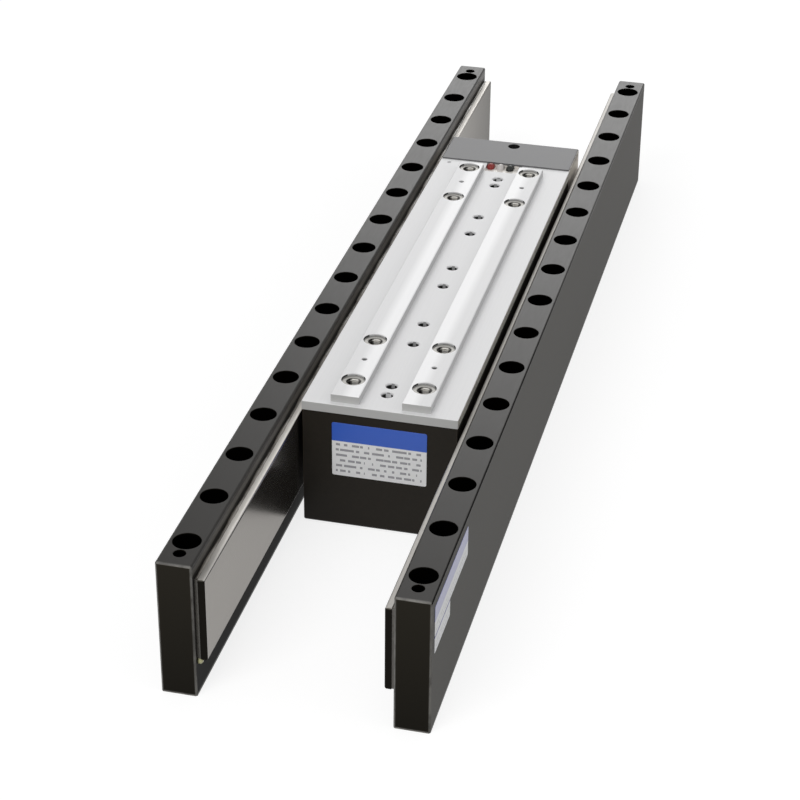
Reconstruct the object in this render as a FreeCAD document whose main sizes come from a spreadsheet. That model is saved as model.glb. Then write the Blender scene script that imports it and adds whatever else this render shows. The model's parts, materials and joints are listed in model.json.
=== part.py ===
import FreeCAD, Part
import os
import re
import Sketcher
from FreeCAD import Placement, Rotation, Vector

# Linear servo motor with two magnet rails and a cored coil slider between them.
# Millimetres. +Y is the travel, +Z is up. The origin is the middle of the two rails'
# footprint, on the surface that they are bolted to.

# Driving dimensions: name, value, meaning
SIZES = (
    ("rail_length", 512, "magnet rail, end to end"),
    ("rail_height", 58, "magnet rail, base to top"),
    ("rail_width", 14, "magnet rail, across"),
    ("rail_spacing", 89.3, "between the centre lines of the two rails"),
    ("rail_chamfer", 0.6, "broken edges of a rail"),
    ("bolt_pitch", 32, "between neighbouring bolt holes of a rail"),
    ("bolt_hole", 6.6, "clearance hole for an M6 bolt"),
    ("bolt_head_hole", 11, "counterbore for an M6 socket head"),
    ("bolt_head_depth", 12, "depth of that counterbore"),
    ("dowel_hole", 5, "dowel hole at each end of a rail"),
    ("dowel_depth", 12, "depth of a dowel hole"),
    ("dowel_inset", 7.6, "dowel hole centre to the rail's end"),
    ("magnet_pitch", 32, "pole pitch along a rail"),
    ("magnet_gap", 6, "between neighbouring magnets"),
    ("magnet_height", 30, "magnet, and the core stack facing it"),
    ("magnet_thickness", 3.5, "magnet, from the rail towards the air gap"),
    ("magnet_top_inset", 9.6, "rail top down to the magnets' upper edge"),
    ("magnet_end_margin", 0.5, "last magnet to the cover's end wall"),
    ("magnet_resin_margin", 2.5, "magnet's upper and lower edge to the cover's wall"),
    ("cover_wall", 0.5, "sheet thickness of a magnet cover"),
    ("cover_bend", 1.0, "outside radius of the cover's bends"),
    ("cover_gap", 1.4, "cover's flange edge to the rail"),
    ("air_gap", 0.9, "cover to slider, on each side"),
    ("slider_poles", 8, "pole pitches that the slider is long"),
    ("slider_rest", -2, "slider's middle along the travel, at rest"),
    ("floor_clearance", 0.5, "mounting surface to the slider's underside"),
    ("plate_rise", 0.4, "mounting plate's top above the rails"),
    ("plate_thickness", 4, "mounting plate beside its strips"),
    ("plate_overhang", 0.3, "plate beyond the moulded coil block"),
    ("plate_chamfer", 0.2, "broken edges of the plate"),
    ("strip_width", 12, "raised strip, across"),
    ("strip_height", 3.7, "raised strip above the plate"),
    ("strip_spacing", 30, "between the strips' centre lines"),
    ("strip_front_inset", 2.2, "plate's front edge to a strip"),
    ("strip_rear_inset", 9.5, "plate's rear edge to a strip"),
    ("strip_chamfer", 0.3, "broken edges of a strip"),
    ("notch_length", 10, "lead notch in the plate's rear edge"),
    ("bush_inset", 16, "outer bush centre to the slider's end"),
    ("bush_pair_pitch", 36, "between the two bushes of a pair"),
    ("bush_diameter", 10, "steel bush, outside"),
    ("bush_bore", 5, "M6 thread's core diameter"),
    ("bush_bore_chamfer", 0.7, "lead-in of the bush's thread"),
    ("bush_recess", 0.8, "bush's end below the strip's top"),
    ("bush_shoulder", 1.5, "plate left under a bush"),
    ("bush_shoulder_hole", 7, "hole through that shoulder"),
    ("pin_hole", 2.5, "small hole between the bushes of a pair"),
    ("pin_hole_depth", 6, "depth of that hole"),
    ("locating_hole", 5, "locating hole on the plate's centre line"),
    ("locating_spread", 224, "between the two locating holes"),
    ("locating_depth", 4, "depth of a locating hole"),
    ("centre_row_shift", -2.6, "middle of the centre-line holes to the slider's middle"),
    ("centre_row_chamfer", 0.35, "broken edges of the centre-line holes"),
    ("earth_hole", 2.2, "earth screw hole in the plate's rear corner"),
    ("earth_hole_depth", 3, "depth of that hole"),
    ("earth_hole_side_inset", 4.8, "earth screw hole to the plate's side edge"),
    ("earth_hole_end_inset", 4, "earth screw hole to the plate's rear edge"),
    ("screw_diameter", 2.5, "M2.5 plate screw"),
    ("screw_length", 12, "M2.5 plate screw under its head"),
    ("screw_head", 4.5, "M2.5 socket head, across"),
    ("screw_head_height", 2.5, "M2.5 socket head"),
    ("screw_socket", 2, "M2.5 hexagon socket, across flats"),
    ("screw_recess", 2, "screw head's top below the plate"),
    ("screw_clearance", 0.2, "round a screw's shank and head"),
    ("fit_clearance", 0.05, "round a bush, insert or thread"),
    ("spine_width", 9, "core spine between the two rows of teeth"),
    ("phase_teeth", 3, "neighbouring teeth of one phase"),
    ("tooth_width", 12, "tooth neck, along the travel"),
    ("slot_opening", 8.4, "between neighbouring tooth tips"),
    ("tip_depth", 3.6, "tooth tip, towards the air gap"),
    ("side_skin", 1, "moulding over the tooth tips"),
    ("core_clearance", 0.1, "round the core in its moulding"),
    ("insulator_wall", 0.5, "slot insulator's wall and flanges"),
    ("insulator_clearance", 0.1, "core tooth to its insulator"),
    ("coil_web", 4.4, "between neighbouring coils"),
    ("coil_corner", 3, "outer corner radius of a coil"),
    ("coil_cover", 1.6, "coil's top to the plate's underside"),
    ("coil_clearance", 0.3, "round a coil in its moulding"),
    ("mould_corner", 1.5, "lower long edges of the coil block"),
    ("thermistor_diameter", 2.4, "winding temperature sensor"),
    ("thermistor_length", 10, "winding temperature sensor"),
    ("thermistor_offset", 18, "sensor to the slider's centre line"),
    ("lead_diameter", 3.8, "insulated phase lead"),
    ("lead_pitch", 4.9, "between neighbouring phase leads"),
    ("lead_shift", -2, "middle lead to the slider's centre line"),
    ("lead_inset", 3, "lead's upright part to the plate's rear edge"),
    ("lead_bend", 2.7, "bend radius of a lead, at its centre line"),
    ("lead_entry", 10, "lead inside the end block"),
    ("splice_diameter", 4.4, "crimped splice on a lead"),
    ("splice_length", 8, "crimped splice"),
    ("splice_overlap", 5, "lead inside its splice"),
    ("potting_drop", 1.6, "potting's top below the plate's top"),
    ("block_length", 28, "end block, along the travel"),
    ("block_rise", 0.6, "end block's top above the plate"),
    ("block_edge", 0.8, "rounded edges of the end block"),
    ("block_rear_wall", 14, "end block behind the lead space"),
    ("lead_space_width", 18, "lead space in the end block"),
    ("cable_drop", 15, "end block's top down to the cable outlet's centre"),
    ("gland_diameter", 12, "rubber gland in the end block"),
    ("gland_lip_diameter", 15, "gland's lip outside the end block"),
    ("gland_lip", 2, "thickness of that lip"),
    ("cable_bore", 8, "gland's bore for the cable"),
    ("clamp_diameter", 6, "cable clamp set screw"),
    ("clamp_length", 6, "cable clamp set screw"),
    ("clamp_socket", 3, "set screw's hexagon socket, across flats"),
    ("clamp_inset", 5.5, "clamp screw to the end block's rear"),
    ("block_screw_diameter", 4, "M4 screw that holds the end block"),
    ("block_screw_length", 35, "M4 screw under its head"),
    ("block_screw_head", 7, "M4 socket head, across"),
    ("block_screw_head_height", 4, "M4 socket head"),
    ("block_screw_socket", 3, "M4 hexagon socket, across flats"),
    ("block_screw_recess", 0.4, "M4 head below the end block's rear"),
    ("lower_screw_offset", 22, "lower block screws to the centre line"),
    ("upper_screw_inset", 8.6, "core's underside up to the upper block screw"),
    ("tip_clearance", 1, "hole beyond a screw's tip"),
    ("insert_diameter", 6, "threaded insert in the coil block"),
    ("insert_length", 8, "threaded insert"),
    ("foil", 0.15, "thickness of a label"),
    ("front_label_width", 40, "slider label, across"),
    ("front_label_height", 25, "slider label"),
    ("front_label_drop", 8, "plate's top down to the slider label"),
    ("rail_label_length", 55, "rail label along the rail"),
    ("rail_label_height", 13, "rail label"),
    ("rail_label_inset", 4, "rail's end to its labels"),
    ("rail_label_drop", 4.5, "rail's top down to its label"),
    ("label_gap", 0.4, "rail label down to the small plain label under it"),
    ("data_label_length", 25, "small plain label"),
    ("data_label_height", 7, "small plain label"),
)
NAMES = {name for name, value, meaning in SIZES}

PHASES = ("u", "v", "w")
LEADS = ("red", "white", "black")

# Two values in millimetres or cubic millimetres this close are the same
NEAR = 0.01

# Values worked out from the driving dimensions, as spreadsheet expressions
INNER_FACE = "(rail_spacing / 2 - rail_width / 2)"
OUTER_FACE = "(rail_spacing / 2 + rail_width / 2)"
BOLTS = "floor(rail_length / bolt_pitch)"
FIRST_BOLT = f"(-({BOLTS} - 1) * bolt_pitch / 2)"
MAGNETS = "floor(rail_length / magnet_pitch)"
FIRST_MAGNET = f"(-({MAGNETS} - 1) * magnet_pitch / 2)"
MAGNET_LENGTH = "(magnet_pitch - magnet_gap)"
MAGNET_RUN = f"(({MAGNETS} - 1) * magnet_pitch + {MAGNET_LENGTH})"
RESIN_HALF_RUN = f"({MAGNET_RUN} / 2 + magnet_end_margin)"
CORE_TOP = "(rail_height - magnet_top_inset)"
CORE_BOTTOM = f"({CORE_TOP} - magnet_height)"
SLIDER_HALF = f"({INNER_FACE} - magnet_thickness - cover_wall - air_gap)"
SLIDER_LENGTH = "(slider_poles * magnet_pitch)"
SLIDER_END = f"({SLIDER_LENGTH} / 2)"
PLATE_TOP = "(rail_height + plate_rise)"
PLATE_UNDER = f"({PLATE_TOP} - plate_thickness)"
STRIP_TOP = f"({PLATE_TOP} + strip_height)"
CHANNEL_HALF = "(strip_spacing / 2 - strip_width / 2)"
OUTER_BUSH = f"({SLIDER_END} - bush_inset)"
INNER_BUSH = f"({OUTER_BUSH} - bush_pair_pitch)"
BUSH_BOTTOM = f"({PLATE_UNDER} + bush_shoulder)"
SCREW_SEAT = f"({PLATE_TOP} - screw_recess - screw_head_height)"
TEETH = f"({len(PHASES)} * phase_teeth)"
TOOTH_PITCH = f"({SLIDER_LENGTH} / {TEETH})"
FIRST_TOOTH = f"(-({TEETH} - 1) * {TOOTH_PITCH} / 2)"
MOULD_HALF = f"({SLIDER_HALF} - plate_overhang)"
MOULD_END = f"({SLIDER_END} - plate_overhang)"
CORE_HALF = f"({MOULD_HALF} - side_skin - core_clearance)"
COIL_HALF_LENGTH = f"({TOOTH_PITCH} / 2 - coil_web / 2)"
COIL_TOP = f"({PLATE_UNDER} - coil_cover)"
SLEEVE = "(insulator_clearance + insulator_wall)"
COIL_BOTTOM = f"({CORE_BOTTOM} + {CORE_TOP} - {COIL_TOP})"
COIL_NEAR = f"(spine_width / 2 + {SLEEVE})"
COIL_FAR = f"({CORE_HALF} - tip_depth - {SLEEVE})"
WINDING_POCKET = f"({COIL_HALF_LENGTH} + coil_clearance)"
SPINE_END = f"({SLIDER_END} - {TOOTH_PITCH} / 2 + {COIL_HALF_LENGTH})"
RECESS_FLOOR = f"({COIL_TOP} + coil_clearance)"
LEAD_HEIGHT = f"({RECESS_FLOOR} + lead_bend)"
BLOCK_TOP = f"({PLATE_TOP} + block_rise)"
CABLE_HEIGHT = f"({BLOCK_TOP} - cable_drop)"
BLOCK_REAR = f"({SLIDER_END} + block_length)"
SPACE_REAR = f"({BLOCK_REAR} - block_rear_wall)"
SPACE_TOP = f"({LEAD_HEIGHT} + splice_diameter / 2 + core_clearance)"
BLOCK_SCREW_SEAT = f"({BLOCK_REAR} - block_screw_recess - block_screw_head_height)"
BLOCK_SCREW_TIP = f"({BLOCK_SCREW_SEAT} - block_screw_length)"
LOWER_SCREW_HEIGHT = f"((floor_clearance + {COIL_BOTTOM}) / 2)"
UPPER_SCREW_HEIGHT = f"({CORE_BOTTOM} + upper_screw_inset)"
LABEL_TOP = "(rail_height - rail_label_drop)"

# Places along the centre line, counted in thirds of a tooth pitch
SCREW_STEPS = (-11, -7, -5, -1, 1, 5, 7, 11)
SCREW_PLACES = [f"(centre_row_shift + {step} * {TOOTH_PITCH} / 3)" for step in SCREW_STEPS]
LOCATING_PLACES = [f"(centre_row_shift + {side} * locating_spread / 2)" for side in (-1, 1)]
STRIPS = ("(-strip_spacing / 2)", "(strip_spacing / 2)")
BUSH_PLACES = [(x, f"({sign}{y})") for x in STRIPS for y in (OUTER_BUSH, INNER_BUSH) for sign in ("", "-")]
BLOCK_SCREW_PLACES = (
    ("-lower_screw_offset", LOWER_SCREW_HEIGHT),
    ("lower_screw_offset", LOWER_SCREW_HEIGHT),
    ("0", UPPER_SCREW_HEIGHT),
)

doc = FreeCAD.newDocument("LinearMotor")


def fill_sheet():
    """Put each driving dimension in a cell of its own, under its name."""
    sheet = doc.addObject("Spreadsheet::Sheet", "Sizes")
    for row, (name, value, meaning) in enumerate(SIZES, start=1):
        sheet.set(f"A{row}", meaning)
        sheet.set(f"B{row}", str(value))
        sheet.setAlias(f"B{row}", name)
    doc.recompute()


def linked(text):
    """The expression with each size named as a cell of the sheet."""
    return re.sub(r"[a-z_]+", lambda word: f"Sizes.{word[0]}" if word[0] in NAMES else word[0], text)


def bind(item, **values):
    """Tie properties to expressions; a double underscore stands for a dot."""
    for name, text in values.items():
        item.setExpression(name.replace("__", "."), linked(text))


def place(item, x="0", y="0", z="0", turn=Rotation()):
    """Stand an object at x, y, z with a fixed turn."""
    item.Placement = Placement(Vector(), turn)
    bind(item, Placement__Base__x=x, Placement__Base__y=y, Placement__Base__z=z)
    return item


# Sketched bodies


def new_body(label, x="0", y="0", z="0", turn=Rotation()):
    body = doc.addObject("PartDesign::Body", label)
    body.AllowCompound = True
    return place(body, x, y, z, turn)


def origin_feature(body, role):
    return next(item for item in body.Origin.OriginFeatures if item.Role == role)


def sketch_on(body, role, offset="0"):
    """An empty sketch on one of the body's own origin planes."""
    sketch = body.newObject("Sketcher::SketchObject", body.Label + "_sketch")
    sketch.AttachmentSupport = [(origin_feature(body, role), "")]
    sketch.MapMode = "FlatFace"
    bind(sketch, AttachmentOffset__Base__z=offset)
    return sketch


def fix(sketch, kind, geometry, point, text):
    """Hold a point at a distance from the sketch's origin."""
    index = sketch.addConstraint(Sketcher.Constraint(kind, -1, 1, geometry, point, 1.0))
    sketch.setExpression(f"Constraints[{index}]", linked(text))


def rectangle(sketch, left, right, low, high):
    first = sketch.GeometryCount
    corners = [Vector(0, 0), Vector(1, 0), Vector(1, 1), Vector(0, 1)]
    for side in range(4):
        sketch.addGeometry(Part.LineSegment(corners[side], corners[(side + 1) % 4]), False)
    for side in range(4):
        sketch.addConstraint(Sketcher.Constraint("Coincident", first + side, 2, first + (side + 1) % 4, 1))
        sketch.addConstraint(Sketcher.Constraint(("Horizontal", "Vertical")[side % 2], first + side))
    fix(sketch, "DistanceX", first, 1, left)
    fix(sketch, "DistanceY", first, 1, low)
    fix(sketch, "DistanceX", first + 2, 1, right)
    fix(sketch, "DistanceY", first + 2, 1, high)


def circle(sketch, x, y, diameter):
    index = sketch.addGeometry(Part.Circle(Vector(), Vector(0, 0, 1), 1), False)
    fix(sketch, "DistanceX", index, 3, x)
    fix(sketch, "DistanceY", index, 3, y)
    size = sketch.addConstraint(Sketcher.Constraint("Diameter", index, 2.0))
    sketch.setExpression(f"Constraints[{size}]", linked(diameter))


def pad(body, sketch, length):
    """Add material from the sketch along its normal."""
    feature = body.newObject("PartDesign::Pad", body.Label + "_pad")
    feature.Profile = sketch
    bind(feature, Length=length)
    body.Tip = feature
    doc.recompute()
    return feature


def pocket(body, sketch, depth, forward=False):
    """Cut from the sketch against its normal, or along it if forward."""
    before = body.Shape.Volume
    feature = body.newObject("PartDesign::Pocket", body.Label + "_pocket")
    feature.Profile = sketch
    feature.Reversed = forward
    bind(feature, Length=depth)
    body.Tip = feature
    doc.recompute()
    if body.Shape.Volume > before - NEAR:
        raise RuntimeError(f"{feature.Name} cuts nothing")
    return feature


def row_of(body, features, axis, count, spacing):
    """Repeat features along one of the body's axes."""
    feature = body.newObject("PartDesign::LinearPattern", body.Label + "_row")
    feature.Originals = features
    feature.Direction = (origin_feature(body, axis), [""])
    feature.Mode = "Spacing"
    bind(feature, Offset=spacing, Occurrences=count)
    body.Tip = feature
    doc.recompute()
    return feature


def dress(body, kind, size, choose):
    """Chamfer or fillet the edges of the body's last feature that choose picks."""
    base = body.Tip
    numbered = enumerate(base.Shape.Edges, start=1)
    edges = [f"Edge{index}" for index, edge in numbered if choose(edge.CenterOfMass, edge)]
    feature = body.newObject("PartDesign::" + kind, body.Label + "_" + kind.lower())
    feature.Base = (base, edges)
    bind(feature, **{"Radius" if kind == "Fillet" else "Size": size})
    body.Tip = feature
    doc.recompute()
    return feature


def extent(body):
    """The bounding box of a body's last feature, in the body's own axes."""
    return body.Tip.Shape.BoundBox


# Solids of revolution and boxes


def turned(item, x, y, z, along):
    """Stand a primitive at x, y, z with its own Z axis along Z or Y."""
    turn = Rotation(Vector(1, 0, 0), -90) if along == "y" else Rotation()
    return place(item, x, y, z, turn)


def cylinder(name, x, y, z, diameter, length, along="z"):
    item = doc.addObject("Part::Cylinder", name)
    bind(item, Radius=f"({diameter}) / 2", Height=length)
    return turned(item, x, y, z, along)


def hexagon(name, x, y, z, flats, length, along="z"):
    """A hexagonal prism, sized across its flats."""
    item = doc.addObject("Part::Prism", name)
    item.Polygon = 6
    bind(item, Circumradius=f"({flats}) / 2 / cos(30)", Height=length)
    return turned(item, x, y, z, along)


def box(name, x, y, z, width, length, height):
    item = doc.addObject("Part::Box", name)
    bind(item, Length=width, Width=length, Height=height)
    return place(item, x, y, z)


def cut(name, base, tool):
    item = doc.addObject("Part::Cut", name)
    item.Base = base
    item.Tool = tool
    return item


def fuse(name, *parts):
    item = doc.addObject("Part::MultiFuse", name)
    item.Shapes = list(parts)
    return item


def group(name, parts):
    """Separate solids that share one node."""
    item = doc.addObject("Part::Compound", name)
    item.Links = parts
    return item


# Magnet rails


def yoke(label, side):
    """A steel rail with its row of counterbored bolt holes and two dowel holes."""
    body = new_body(label, x=f"{side} * rail_spacing / 2")
    outline = sketch_on(body, "XY_Plane")
    rectangle(outline, "-rail_width / 2", "rail_width / 2", "-rail_length / 2", "rail_length / 2")
    pad(body, outline, "rail_height")
    dress(body, "Chamfer", "rail_chamfer", lambda centre, edge: centre.z > extent(body).ZMin + NEAR)
    head = sketch_on(body, "XY_Plane", "rail_height")
    circle(head, "0", FIRST_BOLT, "bolt_head_hole")
    head_pocket = pocket(body, head, "bolt_head_depth")
    shank = sketch_on(body, "XY_Plane", "rail_height")
    circle(shank, "0", FIRST_BOLT, "bolt_hole")
    shank_pocket = pocket(body, shank, "rail_height")
    row_of(body, [head_pocket, shank_pocket], "Y_Axis", BOLTS, "bolt_pitch")
    dowels = sketch_on(body, "XY_Plane", "rail_height")
    for sign in ("", "-"):
        circle(dowels, "0", f"{sign}(rail_length / 2 - dowel_inset)", "dowel_hole")
    pocket(body, dowels, "dowel_depth")
    return body


def on_rail(label, side, distance="0"):
    """A body that faces the air gap, at a distance from a rail's inner face."""
    turn = Rotation(Vector(0, 0, 1), 0 if side < 0 else 180)
    return new_body(label, x=f"{side} * ({INNER_FACE} - ({distance}))", z=CORE_BOTTOM, turn=turn)


def magnets(label, side, first):
    """Every second magnet of a rail, counted from the first or the next."""
    body = on_rail(label, side)
    outline = sketch_on(body, "YZ_Plane")
    middle = f"({FIRST_MAGNET} + {first} * magnet_pitch)"
    half = f"{MAGNET_LENGTH} / 2"
    rectangle(outline, f"{middle} - {half}", f"{middle} + {half}", "0", "magnet_height")
    magnet = pad(body, outline, "magnet_thickness")
    row_of(body, [magnet], "Y_Axis", f"ceil(({MAGNETS} - {first}) / 2)", "2 * magnet_pitch")
    return body


def magnet_cover(label, side):
    """A shallow tray of thin sheet over one rail's magnets, open towards the rail."""
    body = on_rail(label, side, "cover_gap")
    outline = sketch_on(body, "YZ_Plane")
    reach = f"({RESIN_HALF_RUN} + cover_wall)"
    margin = "(magnet_resin_margin + cover_wall)"
    rectangle(outline, f"-{reach}", reach, f"-{margin}", f"magnet_height + {margin}")
    pad(body, outline, "magnet_thickness + cover_wall - cover_gap")
    dress(body, "Fillet", "cover_bend", lambda centre, edge: centre.x > extent(body).XMin + NEAR)
    inside = sketch_on(body, "YZ_Plane")
    rectangle(inside, f"-{RESIN_HALF_RUN}", RESIN_HALF_RUN,
              "-magnet_resin_margin", "magnet_height + magnet_resin_margin")
    pocket(body, inside, "magnet_thickness - cover_gap", forward=True)
    return body


def magnet_resin(label, side):
    """The cast ladder that beds a rail's magnets inside their cover."""
    body = on_rail(label, side)
    outline = sketch_on(body, "YZ_Plane")
    top = "magnet_height + magnet_resin_margin"
    rectangle(outline, f"-{RESIN_HALF_RUN}", RESIN_HALF_RUN, "-magnet_resin_margin", top)
    depth = "magnet_thickness + cover_wall - cover_bend"
    pad(body, outline, depth)
    window = sketch_on(body, "YZ_Plane")
    half = f"{MAGNET_LENGTH} / 2"
    rectangle(window, f"{FIRST_MAGNET} - {half}", f"{FIRST_MAGNET} + {half}", "0", "magnet_height")
    hole = pocket(body, window, depth, forward=True)
    row_of(body, [hole], "Y_Axis", MAGNETS, "magnet_pitch")
    return body


def rail_labels():
    """Two foils on the right rail's outer face, near its front end."""
    start = "-rail_length / 2 + rail_label_inset"
    upper = box("rail_label", OUTER_FACE, start, f"{LABEL_TOP} - rail_label_height",
                "foil", "rail_label_length", "rail_label_height")
    lower = box("data_label", OUTER_FACE, start,
                f"{LABEL_TOP} - rail_label_height - label_gap - data_label_height",
                "foil", "data_label_length", "data_label_height")
    return group("rail_labels", [upper, lower])


# Slider's mounting plate


def slider_body(label):
    return new_body(label, y="slider_rest")


def mounting_plate():
    """An aluminium plate with two raised strips above and a rib down to the core."""
    body = slider_body("mounting_plate")
    outline = sketch_on(body, "XY_Plane", PLATE_UNDER)
    rectangle(outline, f"-{SLIDER_HALF}", SLIDER_HALF, f"-{SLIDER_END}", SLIDER_END)
    pad(body, outline, "plate_thickness")
    dress(body, "Chamfer", "plate_chamfer", lambda centre, edge: centre.z > extent(body).ZMin + NEAR)
    strips = sketch_on(body, "XY_Plane", PLATE_TOP)
    for x in STRIPS:
        rectangle(strips, f"{x} - strip_width / 2", f"{x} + strip_width / 2",
                  f"-{SLIDER_END} + strip_front_inset", f"{SLIDER_END} - strip_rear_inset")
    pad(body, strips, "strip_height")
    dress(body, "Chamfer", "strip_chamfer", lambda centre, edge: centre.z > extent(body).ZMax - NEAR)
    rib = sketch_on(body, "XY_Plane", CORE_TOP)
    rib_end = f"({SLIDER_END} - notch_length)"
    rectangle(rib, "-spine_width / 2", "spine_width / 2", f"-{rib_end}", rib_end)
    pad(body, rib, f"{PLATE_UNDER} - {CORE_TOP}")
    notch = sketch_on(body, "XY_Plane", PLATE_TOP)
    rectangle(notch, f"-{CHANNEL_HALF}", CHANNEL_HALF, rib_end, f"{SLIDER_END} + notch_length")
    pocket(body, notch, "plate_thickness")
    drill_plate(body)
    return body


def drill_plate(body):
    """Bush seats, screw holes and the small holes, all from above."""
    full = "strip_height + plate_thickness"
    over = "2 * screw_clearance"
    deep = f"{PLATE_TOP} - {CORE_TOP}"
    outer = (OUTER_BUSH, f"(-{OUTER_BUSH})")
    pins = [(x, f"({y} * (1 - bush_pair_pitch / 2 / {OUTER_BUSH}))") for x in STRIPS for y in outer]
    locating = [("0", y) for y in LOCATING_PLACES]
    screws = [("0", y) for y in SCREW_PLACES]
    earth = [(f"earth_hole_side_inset - {SLIDER_HALF}", f"{SLIDER_END} - earth_hole_end_inset")]
    rows = (
        (BUSH_PLACES, STRIP_TOP, "bush_diameter + 2 * fit_clearance", f"{full} - bush_shoulder"),
        (BUSH_PLACES, STRIP_TOP, "bush_shoulder_hole", full),
        (pins, STRIP_TOP, "pin_hole", "pin_hole_depth"),
        (screws, PLATE_TOP, f"screw_head + {over}", "screw_recess + screw_head_height"),
        (screws, PLATE_TOP, f"screw_diameter + {over}", deep),
        (locating, PLATE_TOP, "locating_hole", "locating_depth"),
        (earth, PLATE_TOP, "earth_hole", "earth_hole_depth"),
    )
    for places, top, diameter, depth in rows:
        holes = sketch_on(body, "XY_Plane", top)
        for x, y in places:
            circle(holes, x, y, diameter)
        pocket(body, holes, depth)
    plate_top = extent(body).ZMax - doc.Sizes.strip_height
    dress(body, "Chamfer", "centre_row_chamfer",
          lambda centre, edge: edge.isClosed() and abs(centre.x) < NEAR and abs(centre.z - plate_top) < NEAR)


def mounting_bushes():
    """Steel bushes with an M6 thread, seated in the strips."""
    body = slider_body("mounting_bushes")
    rings = sketch_on(body, "XY_Plane", BUSH_BOTTOM)
    for x, y in BUSH_PLACES:
        circle(rings, x, y, "bush_diameter")
        circle(rings, x, y, "bush_bore")
    pad(body, rings, f"{STRIP_TOP} - bush_recess - {BUSH_BOTTOM}")
    bore_radius = doc.Sizes.bush_bore / 2
    dress(body, "Chamfer", "bush_bore_chamfer",
          lambda centre, edge: centre.z > extent(body).ZMax - NEAR
          and abs(edge.Curve.Radius - bore_radius) < NEAR)
    return body


def socket_screw(name, x, y, z, sizes, along="z"):
    """A socket-head screw whose head is seated at x, y, z."""
    diameter, length, head, head_height, socket = sizes
    key_depth = f"{head_height} / 2"
    if along == "z":
        shank = cylinder(name + "_shank", x, y, f"{z} - {length}", diameter, length)
        cap = cylinder(name + "_cap", x, y, z, head, head_height)
        key = hexagon(name + "_key", x, y, f"{z} + {key_depth}", socket, head_height)
    else:
        shank = cylinder(name + "_shank", x, f"{y} - {length}", z, diameter, length, along)
        cap = cylinder(name + "_cap", x, y, z, head, head_height, along)
        key = hexagon(name + "_key", x, f"{y} + {key_depth}", z, socket, head_height, along)
    return cut(name, fuse(name + "_blank", shank, cap), key)


def plate_screws():
    """The screws that draw the core up against the plate's rib."""
    sizes = ("screw_diameter", "screw_length", "screw_head", "screw_head_height", "screw_socket")
    screws = [
        socket_screw(f"plate_screw_{index}", "0", f"slider_rest + {y}", SCREW_SEAT, sizes)
        for index, y in enumerate(SCREW_PLACES)
    ]
    return group("plate_screws", screws)


# Core and windings


def core_stack():
    """The laminated core: a spine with a row of tipped teeth on each side."""
    body = slider_body("core_stack")
    spine = sketch_on(body, "XY_Plane", CORE_BOTTOM)
    rectangle(spine, "-spine_width / 2", "spine_width / 2", f"-{SPINE_END}", SPINE_END)
    pad(body, spine, "magnet_height")
    neck = sketch_on(body, "XY_Plane", CORE_BOTTOM)
    rectangle(neck, f"-{CORE_HALF}", CORE_HALF,
              f"{FIRST_TOOTH} - tooth_width / 2", f"{FIRST_TOOTH} + tooth_width / 2")
    neck_pad = pad(body, neck, "magnet_height")
    tips = sketch_on(body, "XY_Plane", CORE_BOTTOM)
    half_tip = f"({TOOTH_PITCH} / 2 - slot_opening / 2)"
    for near, far in ((f"-{CORE_HALF}", f"tip_depth - {CORE_HALF}"), (f"{CORE_HALF} - tip_depth", CORE_HALF)):
        rectangle(tips, near, far, f"{FIRST_TOOTH} - {half_tip}", f"{FIRST_TOOTH} + {half_tip}")
    tip_pad = pad(body, tips, "magnet_height")
    row_of(body, [neck_pad, tip_pad], "Y_Axis", TEETH, TOOTH_PITCH)
    holes = sketch_on(body, "XY_Plane", CORE_TOP)
    for y in SCREW_PLACES:
        circle(holes, "0", y, "screw_diameter + 2 * fit_clearance")
    pocket(body, holes, f"screw_length - {SCREW_SEAT} + {CORE_TOP} + tip_clearance")
    end = sketch_on(body, "XZ_Plane", f"-{SPINE_END}")
    circle(end, "0", UPPER_SCREW_HEIGHT, "block_screw_diameter + 2 * fit_clearance")
    pocket(body, end, f"{SPINE_END} - {BLOCK_SCREW_TIP} + tip_clearance", forward=True)
    return body


def on_each_tooth(body, count):
    """Repeat a whole body on both sides of the spine and on a phase's teeth."""
    mirror = body.newObject("PartDesign::Mirrored", body.Label + "_mirror")
    mirror.TransformMode = "Whole shape"
    mirror.MirrorPlane = (origin_feature(body, "YZ_Plane"), [""])
    body.Tip = mirror
    doc.recompute()
    row = row_of(body, [], "Y_Axis", count, TOOTH_PITCH)
    row.TransformMode = "Whole shape"
    doc.recompute()


def slot_insulators():
    """A moulded spool on each tooth, between the iron and its coil."""
    body = slider_body("slot_insulators")
    middle = FIRST_TOOTH
    half_neck = "(tooth_width / 2 + insulator_clearance)"
    half_sleeve = f"(tooth_width / 2 + {SLEEVE})"
    low = f"({CORE_BOTTOM} - insulator_clearance)"
    high = f"({CORE_TOP} + insulator_clearance)"
    near = "(spine_width / 2 + insulator_clearance)"
    far = f"({CORE_HALF} - tip_depth - insulator_clearance)"
    sleeve = sketch_on(body, "YZ_Plane", near)
    rectangle(sleeve, f"{middle} - {half_sleeve}", f"{middle} + {half_sleeve}",
              f"{low} - insulator_wall", f"{high} + insulator_wall")
    pad(body, sleeve, f"{far} - {near}")
    for offset in (near, f"({far} - insulator_wall)"):
        flange = sketch_on(body, "YZ_Plane", offset)
        rectangle(flange, f"{middle} - {COIL_HALF_LENGTH}", f"{middle} + {COIL_HALF_LENGTH}",
                  COIL_BOTTOM, COIL_TOP)
        pad(body, flange, "insulator_wall")
    bore = sketch_on(body, "YZ_Plane", near)
    rectangle(bore, f"{middle} - {half_neck}", f"{middle} + {half_neck}", low, high)
    pocket(body, bore, f"{far} - {near}", forward=True)
    on_each_tooth(body, TEETH)
    return body


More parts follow.
